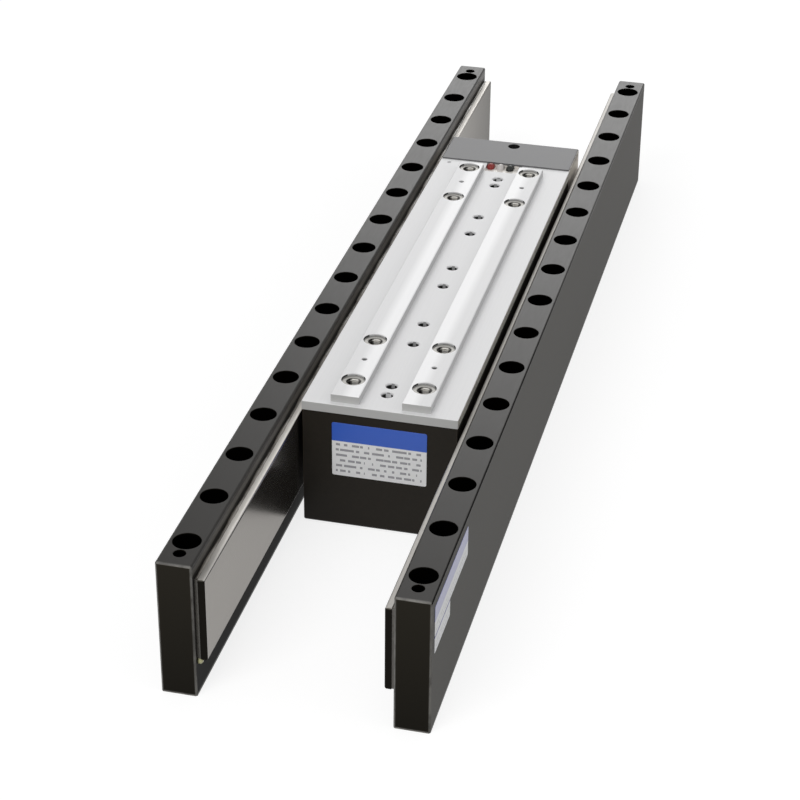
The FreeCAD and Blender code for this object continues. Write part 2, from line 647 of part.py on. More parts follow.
def phase_coils(label, phase):
    """The coils of one phase, wound round its teeth on both sides."""
    body = slider_body(label)
    middle = f"({FIRST_TOOTH} + {phase} * phase_teeth * {TOOTH_PITCH})"
    half_sleeve = f"(tooth_width / 2 + {SLEEVE})"
    outside = sketch_on(body, "YZ_Plane", COIL_NEAR)
    rectangle(outside, f"{middle} - {COIL_HALF_LENGTH}", f"{middle} + {COIL_HALF_LENGTH}",
              COIL_BOTTOM, COIL_TOP)
    pad(body, outside, f"{COIL_FAR} - {COIL_NEAR}")
    dress(body, "Fillet", "coil_corner",
          lambda centre, edge: abs(edge.tangentAt(edge.FirstParameter).x) > 1 - NEAR)
    inside = sketch_on(body, "YZ_Plane", COIL_NEAR)
    rectangle(inside, f"{middle} - {half_sleeve}", f"{middle} + {half_sleeve}",
              f"{CORE_BOTTOM} - {SLEEVE}", f"{CORE_TOP} + {SLEEVE}")
    pocket(body, inside, f"{COIL_FAR} - {COIL_NEAR}", forward=True)
    on_each_tooth(body, "phase_teeth")
    return body


def coil_mould():
    """The black moulded block round core and windings, closed above by the plate."""
    body = slider_body("coil_mould")
    outline = sketch_on(body, "XY_Plane", "floor_clearance")
    rectangle(outline, f"-{MOULD_HALF}", MOULD_HALF, f"-{MOULD_END}", SLIDER_END)
    pad(body, outline, f"{PLATE_UNDER} - floor_clearance")
    dress(body, "Fillet", "mould_corner",
          lambda centre, edge: centre.z < extent(body).ZMin + NEAR and centre.y < extent(body).YMax - NEAR)
    winding = sketch_on(body, "XY_Plane", PLATE_UNDER)
    half_width = f"({CORE_HALF} + core_clearance)"
    rectangle(winding, f"-{half_width}", half_width,
              f"{FIRST_TOOTH} - {WINDING_POCKET}", f"{FIRST_TOOTH} + {WINDING_POCKET}")
    winding_pocket = pocket(body, winding, f"{PLATE_UNDER} - {COIL_BOTTOM} + coil_clearance")
    row_of(body, [winding_pocket], "Y_Axis", TEETH, TOOTH_PITCH)
    slot = sketch_on(body, "XY_Plane", PLATE_UNDER)
    half_slot = "(spine_width / 2 + core_clearance)"
    slot_end = f"({SPINE_END} + core_clearance)"
    rectangle(slot, f"-{half_slot}", half_slot, f"-{slot_end}", slot_end)
    pocket(body, slot, f"{PLATE_UNDER} - {CORE_BOTTOM} + core_clearance")
    sensor = sketch_on(body, "XY_Plane", PLATE_UNDER)
    circle(sensor, "thermistor_offset", f"{TOOTH_PITCH} * (phase_teeth / 2)",
           "thermistor_diameter + 2 * core_clearance")
    pocket(body, sensor, "thermistor_length + 2 * coil_cover")
    recess = sketch_on(body, "XY_Plane", PLATE_UNDER)
    rectangle(recess, f"-{CHANNEL_HALF}", CHANNEL_HALF, f"{SLIDER_END} - notch_length",
              f"{SLIDER_END} + notch_length")
    pocket(body, recess, f"{PLATE_UNDER} - {RECESS_FLOOR}")
    bore_for_block_screws(body)
    return body


def bore_for_block_screws(body):
    """Insert seats low in the block's rear, and the upper screw's way to the spine."""
    seats = sketch_on(body, "XZ_Plane", f"-{SLIDER_END}")
    tips = sketch_on(body, "XZ_Plane", f"-{SLIDER_END}")
    for x, z in BLOCK_SCREW_PLACES[:2]:
        circle(seats, x, z, "insert_diameter + 2 * fit_clearance")
        circle(tips, x, z, "block_screw_diameter + 2 * screw_clearance")
    pocket(body, seats, "insert_length", forward=True)
    pocket(body, tips, f"{SLIDER_END} - {BLOCK_SCREW_TIP} + tip_clearance", forward=True)
    upper = sketch_on(body, "XZ_Plane", f"-{SLIDER_END}")
    circle(upper, "0", UPPER_SCREW_HEIGHT, "block_screw_diameter + 2 * screw_clearance")
    pocket(body, upper, f"{SLIDER_END} - {SPINE_END}", forward=True)


def winding_thermistor():
    """The temperature sensor, in a hole between the second and third phase."""
    return cylinder("winding_thermistor", "thermistor_offset",
                    f"slider_rest + {TOOTH_PITCH} * (phase_teeth / 2)",
                    f"{PLATE_UNDER} - thermistor_length - 2 * coil_cover",
                    "thermistor_diameter", "thermistor_length")


# Phase leads and end block


def lead_place(index):
    """How far a lead and its splice stand from the slider's centre line."""
    return f"lead_shift + {index - 1} * lead_pitch"


def lead_path(name, index, diameter):
    """A round bar that rises from the coil block and bends back into the end block."""
    x = lead_place(index)
    bend_end = f"(slider_rest + {SLIDER_END} - lead_inset + lead_bend)"
    bend = doc.addObject("Part::Torus", name + "_bend")
    bind(bend, Radius1="lead_bend", Radius2=f"({diameter}) / 2")
    bend.Angle3 = 90
    quarter = Rotation(Vector(0, 0, 1), Vector(0, -1, 0), Vector(1, 0, 0), "ZXY")
    place(bend, x, bend_end, RECESS_FLOOR, quarter)
    run = cylinder(name + "_run", x, bend_end, LEAD_HEIGHT, diameter,
                   "lead_inset - lead_bend + lead_entry", "y")
    return fuse(name, bend, run)


def lead_splices():
    """Crimped tubes that join the leads to the cable's cores inside the end block."""
    start = f"slider_rest + {SLIDER_END} + lead_entry - splice_overlap"
    splices = []
    for index in range(len(LEADS)):
        x = lead_place(index)
        tube = cylinder(f"splice_tube_{index}", x, start, LEAD_HEIGHT,
                        "splice_diameter", "splice_length", "y")
        bore = cylinder(f"splice_bore_{index}", x, start, LEAD_HEIGHT,
                        "lead_diameter + 2 * fit_clearance", "splice_length", "y")
        splices.append(cut(f"splice_{index}", tube, bore))
    return group("lead_splices", splices)


def lead_potting():
    """Cast resin that fills the notch round the leads."""
    bed = slider_body("potting_bed")
    outline = sketch_on(bed, "XY_Plane", RECESS_FLOOR)
    rectangle(outline, f"-{CHANNEL_HALF}", CHANNEL_HALF, f"{SLIDER_END} - notch_length",
              f"{SLIDER_END} - fit_clearance")
    pad(bed, outline, f"{PLATE_TOP} - potting_drop - {RECESS_FLOOR}")
    ways = [lead_path(f"lead_way_{index}", index, "lead_diameter + 2 * fit_clearance")
            for index in range(len(LEADS))]
    return cut("lead_potting", bed, fuse("lead_ways", *ways))


def end_block():
    """The grey block behind the coil, where the leads meet the cable."""
    body = slider_body("end_block")
    outline = sketch_on(body, "XY_Plane", "floor_clearance")
    rectangle(outline, f"-{SLIDER_HALF}", SLIDER_HALF, SLIDER_END, BLOCK_REAR)
    pad(body, outline, f"{BLOCK_TOP} - floor_clearance")
    dress(body, "Fillet", "block_edge", lambda centre, edge: centre.y > extent(body).YMin + NEAR)
    space = sketch_on(body, "XZ_Plane", f"-{SLIDER_END}")
    rectangle(space, "lead_shift - lead_space_width / 2", "lead_shift + lead_space_width / 2",
              f"{CABLE_HEIGHT} - gland_diameter / 2", SPACE_TOP)
    pocket(body, space, "block_length - block_rear_wall")
    outlet = sketch_on(body, "XZ_Plane", f"-{SPACE_REAR}")
    circle(outlet, "0", CABLE_HEIGHT, "gland_diameter + 2 * fit_clearance")
    pocket(body, outlet, "block_rear_wall")
    clamp = sketch_on(body, "XY_Plane", BLOCK_TOP)
    circle(clamp, "0", f"{BLOCK_REAR} - clamp_inset", "clamp_diameter + 2 * fit_clearance")
    pocket(body, clamp, "cable_drop")
    shanks = sketch_on(body, "XZ_Plane", f"-{SLIDER_END}")
    heads = sketch_on(body, "XZ_Plane", f"-{BLOCK_SCREW_SEAT}")
    for x, z in BLOCK_SCREW_PLACES:
        circle(shanks, x, z, "block_screw_diameter + 2 * screw_clearance")
        circle(heads, x, z, "block_screw_head + 2 * screw_clearance")
    pocket(body, shanks, "block_length")
    pocket(body, heads, "block_screw_recess + block_screw_head_height")
    return body


def end_block_screws():
    """Two screws into the inserts and one into the core's spine."""
    sizes = ("block_screw_diameter", "block_screw_length", "block_screw_head",
             "block_screw_head_height", "block_screw_socket")
    screws = [
        socket_screw(f"block_screw_{index}", x, f"slider_rest + {BLOCK_SCREW_SEAT}", z, sizes, "y")
        for index, (x, z) in enumerate(BLOCK_SCREW_PLACES)
    ]
    return group("end_block_screws", screws)


def mould_inserts():
    """Brass inserts for the two lower screws."""
    inserts = []
    for index, (x, z) in enumerate(BLOCK_SCREW_PLACES[:2]):
        y = f"slider_rest + {SLIDER_END} - insert_length"
        sleeve = cylinder(f"insert_sleeve_{index}", x, y, z, "insert_diameter", "insert_length", "y")
        bore = cylinder(f"insert_bore_{index}", x, y, z,
                        "block_screw_diameter + 2 * fit_clearance", "insert_length", "y")
        inserts.append(cut(f"insert_{index}", sleeve, bore))
    return group("mould_inserts", inserts)


def cable_gland():
    """A rubber sleeve with a lip, in the end block's rear outlet."""
    rear = f"slider_rest + {BLOCK_REAR}"
    sleeve = cylinder("gland_sleeve", "0", f"slider_rest + {SPACE_REAR}", CABLE_HEIGHT,
                      "gland_diameter", "block_rear_wall", "y")
    lip = cylinder("gland_lip_ring", "0", rear, CABLE_HEIGHT, "gland_lip_diameter", "gland_lip", "y")
    bore = cylinder("gland_bore", "0", f"slider_rest + {SPACE_REAR}", CABLE_HEIGHT,
                    "cable_bore", "block_rear_wall + gland_lip", "y")
    return cut("cable_gland", fuse("gland_blank", sleeve, lip), bore)


def cable_clamp_screw():
    """The black set screw that presses on the gland from above."""
    y = f"slider_rest + {BLOCK_REAR} - clamp_inset"
    bottom = f"({CABLE_HEIGHT} + gland_diameter / 2 + fit_clearance)"
    shank = cylinder("clamp_shank", "0", y, bottom, "clamp_diameter", "clamp_length")
    key = hexagon("clamp_key", "0", y, f"{bottom} + clamp_length / 2", "clamp_socket", "clamp_length")
    return cut("cable_clamp_screw", shank, key)


def front_label():
    """A foil on the coil block's front."""
    return box("front_label", "-front_label_width / 2", f"slider_rest - {MOULD_END} - foil",
               "rail_height - front_label_drop - front_label_height",
               "front_label_width", "foil", "front_label_height")


# Assembly and export


def assemble():
    return [
        yoke("left_yoke", -1),
        yoke("right_yoke", 1),
        magnets("left_north_magnets", -1, 0),
        magnets("left_south_magnets", -1, 1),
        magnets("right_north_magnets", 1, 0),
        magnets("right_south_magnets", 1, 1),
        magnet_cover("left_magnet_cover", -1),
        magnet_cover("right_magnet_cover", 1),
        magnet_resin("left_magnet_resin", -1),
        magnet_resin("right_magnet_resin", 1),
        rail_labels(),
        mounting_plate(),
        mounting_bushes(),
        plate_screws(),
        core_stack(),
        slot_insulators(),
        *[phase_coils(f"phase_{name}_coils", index) for index, name in enumerate(PHASES)],
        coil_mould(),
        winding_thermistor(),
        *[lead_path(f"phase_lead_{name}", index, "lead_diameter") for index, name in enumerate(LEADS)],
        lead_splices(),
        lead_potting(),
        end_block(),
        end_block_screws(),
        mould_inserts(),
        cable_gland(),
        cable_clamp_screw(),
        front_label(),
    ]


def check(parts):
    """Stop if any object failed or any sub-part has no sound shape."""
    for item in doc.Objects:
        if "Invalid" in item.State or "Error" in item.State:
            raise RuntimeError(f"{item.Name} failed: {item.State}")
    for part in parts:
        if part.Shape.isNull() or not part.Shape.isValid():
            raise RuntimeError(f"{part.Label} has no valid shape")


def main():
    os.makedirs("parts", exist_ok=True)
    fill_sheet()
    parts = assemble()
    doc.recompute()
    check(parts)
    for part in parts:
        part.Shape.exportStep(f"parts/{part.Label}.step")
        print(part.Label, len(part.Shape.Solids), round(part.Shape.Volume, 1))


main()
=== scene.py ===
import json
import math

import bmesh
import bpy
from bpy.props import FloatProperty, FloatVectorProperty, IntProperty, PointerProperty
from bpy.types import Operator, Panel, PropertyGroup
from mathutils import Matrix, Vector

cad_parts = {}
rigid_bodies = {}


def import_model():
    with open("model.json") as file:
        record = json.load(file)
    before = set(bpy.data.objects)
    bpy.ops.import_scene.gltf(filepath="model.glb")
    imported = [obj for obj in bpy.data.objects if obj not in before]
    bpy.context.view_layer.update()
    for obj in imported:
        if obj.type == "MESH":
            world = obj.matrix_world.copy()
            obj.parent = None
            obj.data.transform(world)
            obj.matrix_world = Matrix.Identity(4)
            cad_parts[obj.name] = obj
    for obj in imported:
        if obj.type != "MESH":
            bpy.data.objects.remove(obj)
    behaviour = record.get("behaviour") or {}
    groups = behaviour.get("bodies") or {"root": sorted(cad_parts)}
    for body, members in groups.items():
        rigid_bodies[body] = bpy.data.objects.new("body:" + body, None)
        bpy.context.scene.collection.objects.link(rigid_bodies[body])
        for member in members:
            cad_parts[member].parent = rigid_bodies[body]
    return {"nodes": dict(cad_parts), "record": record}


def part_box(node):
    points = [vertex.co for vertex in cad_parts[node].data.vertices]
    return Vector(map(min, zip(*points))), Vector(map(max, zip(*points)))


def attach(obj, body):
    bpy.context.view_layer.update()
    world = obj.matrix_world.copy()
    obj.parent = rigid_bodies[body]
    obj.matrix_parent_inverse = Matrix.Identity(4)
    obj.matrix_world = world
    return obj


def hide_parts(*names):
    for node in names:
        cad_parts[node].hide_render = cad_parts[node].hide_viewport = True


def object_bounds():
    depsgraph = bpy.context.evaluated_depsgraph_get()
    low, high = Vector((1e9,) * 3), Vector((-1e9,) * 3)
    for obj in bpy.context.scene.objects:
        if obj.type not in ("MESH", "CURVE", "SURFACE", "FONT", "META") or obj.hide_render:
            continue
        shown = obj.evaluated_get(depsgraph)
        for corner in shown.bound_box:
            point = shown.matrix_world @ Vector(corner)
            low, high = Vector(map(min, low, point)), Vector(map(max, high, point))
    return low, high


bl_info = {
    "name": "Linear motor finish",
    "version": (1, 0, 0),
    "blender": (4, 5, 0),
    "location": "3D View > Sidebar > Linear Motor",
    "description": "Finishes, labels and small parts of a linear motor, and its stage",
    "category": "Object",
}

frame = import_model()
CAD_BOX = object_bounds()
MM = 0.001
MERGE = 0.01 * MM
TRACK = "magnet_track"
SLIDER = "coil_slider"


# Node helpers


class Wire:
    """A node's output. Arithmetic with it adds nodes to its tree."""

    def __init__(self, socket):
        self.socket = socket
        self.tree = socket.id_data

    def __add__(self, other):
        return calculate("ADD", self, other)

    def __sub__(self, other):
        return calculate("SUBTRACT", self, other)

    def __rsub__(self, other):
        return calculate("SUBTRACT", other, self)

    def __mul__(self, other):
        return calculate("MULTIPLY", self, other)

    def __truediv__(self, other):
        return calculate("DIVIDE", self, other)

    def __abs__(self):
        return calculate("ABSOLUTE", self)

    def into(self, target):
        self.tree.links.new(self.socket, target)


def set_inputs(node, values):
    """Sets or links a node's inputs. Plain colours become opaque."""
    for key, value in values.items():
        socket = node.inputs[key]
        if isinstance(value, Wire):
            value.into(socket)
        else:
            socket.default_value = (*value, 1.0) if socket.type == "RGBA" else value


def new_node(tree, kind, values=None, **settings):
    node = tree.nodes.new(kind)
    for name, value in settings.items():
        setattr(node, name, value)
    set_inputs(node, values or {})
    return node


def wired(tree, kind, values=None, **settings):
    """The first output of a new node."""
    return Wire(new_node(tree, kind, values, **settings).outputs[0])


def calculate(operation, *values):
    """The result of one step of arithmetic on wires and numbers."""
    wire = next(value for value in values if isinstance(value, Wire))
    kind = "ShaderNodeVectorMath" if wire.socket.type == "VECTOR" else "ShaderNodeMath"
    return wired(wire.tree, kind, dict(enumerate(values)), operation=operation)


def highest(one, other):
    return calculate("MAXIMUM", one, other)


def lowest(one, other):
    return calculate("MINIMUM", one, other)


def ranged(value, low, high, start=0.0, end=1.0):
    """A value from start to end, carried over to low to high."""
    return wired(value.tree, "ShaderNodeMapRange", {
        "Value": value, "From Min": start, "From Max": end, "To Min": low, "To Max": high})


def mixed(share, low, high):
    """A colour between low and high."""
    node = new_node(share.tree, "ShaderNodeMix", {0: share, 6: low, 7: high}, data_type="RGBA")
    return Wire(node.outputs[2])


def vector(tree, x=0.0, y=0.0, z=0.0):
    return wired(tree, "ShaderNodeCombineXYZ", {0: x, 1: y, 2: z})


def split(value):
    """The three parts of a vector."""
    return [Wire(output) for output in new_node(value.tree, "ShaderNodeSeparateXYZ", {0: value}).outputs]


def object_place(tree):
    return Wire(new_node(tree, "ShaderNodeTexCoord").outputs["Object"])


def noise(place, scale, detail, roughness=0.5):
    return wired(place.tree, "ShaderNodeTexNoise", {
        "Vector": place, "Scale": scale, "Detail": detail, "Roughness": roughness})


SOCKETS = {float: "NodeSocketFloat", int: "NodeSocketInt", tuple: "NodeSocketVector",
           type(None): "NodeSocketGeometry"}


def new_group(name, inputs, kind="ShaderNodeTree"):
    """A node group and the wires of its named inputs, each of the type of its first value."""
    tree = bpy.data.node_groups.new(name, kind)
    for label, value in inputs.items():
        socket = tree.interface.new_socket(label, in_out="INPUT", socket_type=SOCKETS[type(value)])
        if value is not None:
            socket.default_value = value
    given = tree.nodes.new("NodeGroupInput").outputs
    return tree, *(Wire(given[label]) for label in inputs)


def close_group(tree, outputs):
    """Puts wires out of a group under their names."""
    for label, wire in outputs.items():
        tree.interface.new_socket(label, in_out="OUTPUT", socket_type=wire.socket.bl_idname)
    set_inputs(tree.nodes.new("NodeGroupOutput"), outputs)
    return tree


def use_group(tree, build, values):
    """The outputs of a shader node group by name. The group is built where it is new."""
    name = build.__name__.replace("_", " ").capitalize()
    node = tree.nodes.new("ShaderNodeGroup")
    node.node_tree = bpy.data.node_groups.get(name) or build(name)
    set_inputs(node, values)
    return {socket.name: Wire(socket) for socket in node.outputs}


# Shader node groups


def surface_grain(name):
    """Fine uneven grain, drawn out along any axis: a value and a bumped normal."""
    tree, scale, stretch, depth = new_group(name, {
        "Scale": 1000.0, "Stretch": (1, 1, 1), "Depth": 0.01 * MM})
    grain = noise(object_place(tree) * stretch, scale, 4.0, 0.6)
    bump = wired(tree, "ShaderNodeBump", {"Distance": depth, "Height": grain})
    return close_group(tree, {"Value": grain, "Normal": bump})


def edge_wear(name):
    """A mask along the edges of a box that stands either side of the middle plane."""
    tree, centre, half, width, long_edges = new_group(name, {
        "Centre": (0, 0, 0), "Half Size": (1, 1, 1), "Width": MM, "Long Edges": 0.5})
    place = object_place(tree)
    x, y, z = split(place)
    x, y, z = split(half - abs(vector(tree, abs(x), y, z) - centre))
    near_ends = ranged(highest(y, lowest(x, z)) / width, 1.0, 0.0)
    near_sides = ranged(highest(x, z) / width, 1.0, 0.0)
    patches = ranged(noise(place, 220.0, 3.0), 0.45, 1.0, 0.35, 0.6)
    return close_group(tree, {"Mask": highest(near_ends, near_sides * long_edges) * patches})


def print_rows(name):
    """Rows of plain bars in place of small print: a mask of the ink, read from the label's map."""
    tree, place, left, right, bottom, top, pitch, height, length, shift = new_group(name, {
        "Map": (0, 0, 0), "Left": 2.0, "Right": 38.0, "Bottom": 2.0, "Top": 15.0,
        "Row Pitch": 2.6, "Row Height": 0.45, "Bar Length": 2.4, "Row Shift": 1.7})
    u, v, _ = split(place)
    rows = (v - bottom) / pitch
    row = calculate("FLOOR", rows)
    bars = (u + row * shift) / length
    drawn = new_node(tree, "ShaderNodeTexWhiteNoise", {
        "Vector": vector(tree, calculate("FLOOR", bars), row)}, noise_dimensions="3D").outputs["Value"]
    in_row = calculate("LESS_THAN", calculate("FRACT", rows), height)
    in_bar = calculate("LESS_THAN", calculate("FRACT", bars), ranged(Wire(drawn), 0.1, 1.1))
    ink = in_row * in_bar
    for value, low, high in ((u, left, right), (v, bottom, top)):
        ink = ink * calculate("GREATER_THAN", value, low) * calculate("LESS_THAN", value, high)
    return close_group(tree, {"Ink": ink})


def zone(name):
    """A mask of a box's inside and of its mirror images in the planes through a middle point."""
    tree, middle, centre, half, soft = new_group(name, {
        "Middle": (0, 0, 0), "Centre": (0, 0, 0), "Half Size": (1, 1, 1), "Soft": MERGE})
    folded = abs(object_place(tree) - middle)
    x, y, z = split(half - abs(folded - centre))
    return close_group(tree, {"Mask": ranged(lowest(x, lowest(y, z)) / soft, 0.0, 1.0)})


def tool_marks(name):
    """Slanted lines that a cutter leaves on a side face: a value."""
    tree, pitch, slant = new_group(name, {"Pitch": 1.2 * MM, "Slant": 0.6})
    place = object_place(tree)
    _, y, z = split(place)
    turns = (y + z * slant) / pitch + noise(place, 120.0, 2.0)
    wave = calculate("SINE", turns * (2 * math.pi))
    return close_group(tree, {"Value": ranged(wave, 0.0, 1.0, -1.0, 1.0)})


# Materials


def shade(colour, amount):
    """A colour made darker or lighter."""
    return tuple(min(1.0, channel * amount) for channel in colour)


def shades(colour, low, high):
    return shade(colour, low), shade(colour, high)


def new_material(name, plain):
    """A material whose shader has the given plain values."""
    material = bpy.data.materials.new(name)
    material.use_nodes = True
    shader = material.node_tree.nodes["Principled BSDF"]
    set_inputs(shader, plain)
    return material, material.node_tree, shader


def finish(name, colours, roughness, scale, stretch=(1, 1, 1), depth=0.01 * MM,
           metallic=0.0, specular=0.5, tint=(1, 1, 1), coat=0.0):
    """A material whose colour, roughness and height all follow one grain."""
    material, tree, shader = new_material(name, {
        "Metallic": metallic, "Specular IOR Level": specular, "Specular Tint": tint,
        "Coat Weight": coat, "Coat Roughness": 0.15})
    grain = use_group(tree, surface_grain, {"Scale": scale, "Stretch": stretch, "Depth": depth})
    set_inputs(shader, {"Base Color": mixed(grain["Value"], *colours), "Normal": grain["Normal"],
                        "Roughness": ranged(grain["Value"], *roughness)})
    return material


def lay_over(material, mask, colour, roughness=None, metallic=None):
    """Lays another colour and finish over a material where a mask says."""
    inputs = material.node_tree.nodes["Principled BSDF"].inputs
    mixed(mask, Wire(inputs["Base Color"].links[0].from_socket), colour).into(inputs["Base Color"])
    for socket, value in (("Roughness", roughness), ("Metallic", metallic)):
        if value is not None:
            links = inputs[socket].links
            under = Wire(links[0].from_socket) if links else inputs[socket].default_value
            (mask * (value - under) + under).into(inputs[socket])


def zone_mask(material, low, high, middle=(0, 0, 0), soft=MERGE):
    """A mask of the box from low to high, measured both ways on each axis from a middle point."""
    low, high = Vector(low), Vector(high)
    return use_group(material.node_tree, zone, {
        "Middle": middle, "Centre": (low + high) / 2, "Half Size": (high - low) / 2, "Soft": soft})["Mask"]


def paint(material, low, high, colour, roughness, metallic=None, **place):
    """Lays another colour and finish over a material in the box from low to high."""
    lay_over(material, zone_mask(material, low, high, **place), colour, roughness, metallic)


def wear_edges(material, low, high, width, colour, roughness, long_edges=0.5):
    """Lays worn edges over a material, for a box from low to high."""
    centre = (low + high) / 2
    mask = use_group(material.node_tree, edge_wear, {
        "Centre": (abs(centre.x), centre.y, centre.z), "Half Size": (high - low) / 2, "Width": width,
        "Long Edges": long_edges})["Mask"]
    lay_over(material, mask, colour, roughness)


def dress(node, material):
    """Gives a CAD node its material."""
    mesh = frame["nodes"][node].data
    mesh.materials.clear()
    mesh.materials.append(material)


# Mesh helpers


def place_object(name, data):
    item = bpy.data.objects.new(name, data)
    bpy.context.scene.collection.objects.link(item)
    return item


def new_piece(name, body, shape, material):
    """A mesh object made from a bmesh, riding on a body."""
    mesh = bpy.data.meshes.new(name)
    bmesh.ops.recalc_face_normals(shape, faces=shape.faces)
    shape.to_mesh(mesh)
    shape.free()
    mesh.materials.append(material)
    piece = place_object(name, mesh)
    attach(piece, body)
    return piece


def smooth(piece, angle=30):
    """Shades a piece smooth, but for edges sharper than the angle."""
    piece.data.shade_smooth()
    piece.data.set_sharp_from_angle(angle=math.radians(angle))


def corners_of(node):
    return [vertex.co for vertex in frame["nodes"][node].data.vertices]


def solids_of(node):
    """The lowest and highest corner of each separate solid in a CAD node."""
    shape = bmesh.new()
    shape.from_mesh(frame["nodes"][node].data)
    bmesh.ops.remove_doubles(shape, verts=shape.verts, dist=MERGE)
    waiting = set(shape.verts)
    boxes = []
    while waiting:
        found = [waiting.pop()]
        for vertex in found:
            for edge in vertex.link_edges:
                other = edge.other_vert(vertex)
                if other in waiting:
                    waiting.remove(other)
                    found.append(other)
        along = [[vertex.co[axis] for vertex in found] for axis in range(3)]
        boxes.append((Vector(map(min, along)), Vector(map(max, along))))
    shape.free()
    return sorted(boxes, key=lambda box: tuple(box[0]))


def rounded_foil(shape, low, high, radius, thickness, turn, corner_steps=6):
    """A thin plate with round corners. Its map counts millimetres from its lower left corner."""
    layer = shape.loops.layers.uv.get("print") or shape.loops.layers.uv.new("print")
    width = (high - low).dot(turn @ Vector((1, 0, 0)))
    height = high.z - low.z
    base = (low + high) / 2 - turn @ Vector((0, 0, thickness / 2))
    outline = []
    for quarter in range(4):
        sign_x = 1 if quarter in (0, 3) else -1
        sign_y = 1 if quarter < 2 else -1
        for step in range(corner_steps + 1):
            angle = math.radians(90 * (quarter + step / corner_steps))
            outline.append((sign_x * (width / 2 - radius) + radius * math.cos(angle),
                            sign_y * (height / 2 - radius) + radius * math.sin(angle)))
    lip = 0.3 * thickness
    rings = []
    for inset, level in ((0, 0), (0, thickness - lip), (lip, thickness)):
        rings.append([shape.verts.new((x - math.copysign(inset, x), y - math.copysign(inset, y), level))
                      for x, y in outline])
    faces = [shape.faces.new(rings[0]), shape.faces.new(rings[2])]
    for lower, upper in zip(rings, rings[1:]):
        for index in range(len(outline)):
            after = (index + 1) % len(outline)
            faces.append(shape.faces.new((lower[index], lower[after], upper[after], upper[index])))
    for face in faces:
        for loop in face.loops:
            x, y, _ = loop.vert.co
            loop[layer].uv = ((x + width / 2) / MM, (y + height / 2) / MM)
    bmesh.ops.transform(shape, matrix=Matrix.Translation(base) @ turn.to_4x4(), verts=sum(rings, []))


# Geometry node trees


def geometry_group(name, sizes):
    """The wires of a new geometry node tree: its points and its named sizes."""
    tree, *given = new_group(name, {"Geometry": None, **sizes}, "GeometryNodeTree")
    tree.is_modifier = True
    return given


def plant(points, geometry, material, turn=(0, 0, 0)):
    """Ends a tree in real, dressed geometry that stands on each point."""
    tree = points.tree
    planted = wired(tree, "GeometryNodeInstanceOnPoints", {
        "Points": points, "Instance": geometry, "Rotation": turn})
    real = wired(tree, "GeometryNodeRealizeInstances", {0: planted})
    dressed = wired(tree, "GeometryNodeSetMaterial", {"Geometry": real, "Material": material})
    return close_group(tree, {"Geometry": dressed})


def raised(geometry, height):
    return wired(geometry.tree, "GeometryNodeTransform", {
        "Geometry": geometry, "Translation": vector(geometry.tree, z=height)})


def rod(sides, radius, length, top_radius=None):
    """A closed cylinder or cone whose lower end stands at the origin."""
    return wired(radius.tree, "GeometryNodeMeshCone", {
        "Vertices": sides, "Radius Top": top_radius or radius, "Radius Bottom": radius, "Depth": length})


def swept(line, sides, radius, scale=1.0):
    """A closed round bar along a curve."""
    profile = wired(line.tree, "GeometryNodeCurvePrimitiveCircle", {"Resolution": sides, "Radius": radius})
    return wired(line.tree, "GeometryNodeCurveToMesh", {
        "Curve": line, "Profile Curve": profile, "Fill Caps": True, "Scale": scale})


def boolean(operation, *meshes):
    """Meshes joined, or the first less the others."""
    node = new_node(meshes[0].tree, "GeometryNodeMeshBoolean", operation=operation, solver="EXACT")
    if operation == "DIFFERENCE":
        meshes[0].into(node.inputs["Mesh 1"])
        meshes = meshes[1:]
    for mesh in meshes:
        mesh.into(node.inputs["Mesh 2"])
    return Wire(node.outputs[0])


def socket_screws(material):
    """Socket-head screws with knurled heads, one on each point, seated there under its head."""
    points, radius, height, shank, length, socket, depth, edge, knurls, groove, turn = geometry_group(
        "Socket screws", {
            "Head Radius": 2.75 * MM, "Head Height": 3 * MM, "Shank Radius": 1.5 * MM,
            "Shank Length": 12 * MM, "Socket Radius": 1.44 * MM, "Socket Depth": 1.5 * MM,
            "Edge Break": 0.3 * MM, "Knurls": 36, "Groove": 0.07, "Turn": (0, 0, 0)})
    tree = points.tree
    barrel = rod(knurls * 2, radius, height - edge)
    groove = calculate("MODULO", wired(tree, "GeometryNodeInputIndex"), 2) * groove * -1
    inwards = wired(tree, "GeometryNodeInputPosition") * vector(tree, groove, groove)
    barrel = wired(tree, "GeometryNodeSetPosition", {"Geometry": barrel, "Offset": inwards})
    top = radius * 0.96
    crown = raised(rod(48, top, edge * 2, top - edge * 2), height - edge * 2)
    shank = raised(rod(32, shank, length + edge), length * -1)
    key = raised(rod(6, socket, height), height - depth)
    screw = boolean("DIFFERENCE", boolean("UNION", barrel, crown, shank), key)
    return plant(points, screw, material, turn)


def threaded_bushes(material):
    """Steel bushes with a thread inside, one standing on each point."""
    points, radius, height, core, depth, pitch, mouth, edge = geometry_group("Threaded bushes", {
        "Radius": 5 * MM, "Height": 5.5 * MM, "Core Radius": 2.5 * MM, "Thread Depth": 0.5 * MM, "Pitch": MM,
        "Lead-in": 0.9 * MM, "Edge Break": 0.25 * MM})
    root = core + depth
    barrel = rod(64, radius, height - edge)
    rim = raised(rod(64, radius, edge, radius - edge), height - edge)
    bore = raised(rod(48, root, height * 1.2), height * -0.1)
    flare = raised(rod(48, core, mouth, root + mouth), height - mouth * 0.6)
    ring = boolean("DIFFERENCE", boolean("UNION", barrel, rim), bore, flare)
    rise = height - mouth * 1.5
    helix = wired(points.tree, "GeometryNodeCurveSpiral", {
        "Resolution": 40, "Rotations": rise / pitch, "Start Radius": root, "End Radius": root,
        "Height": rise})
    whole = new_node(points.tree, "GeometryNodeJoinGeometry")
    for part in (ring, raised(swept(helix, 4, depth), depth)):
        part.into(whole.inputs[0])
    return plant(points, Wire(whole.outputs[0]), material)


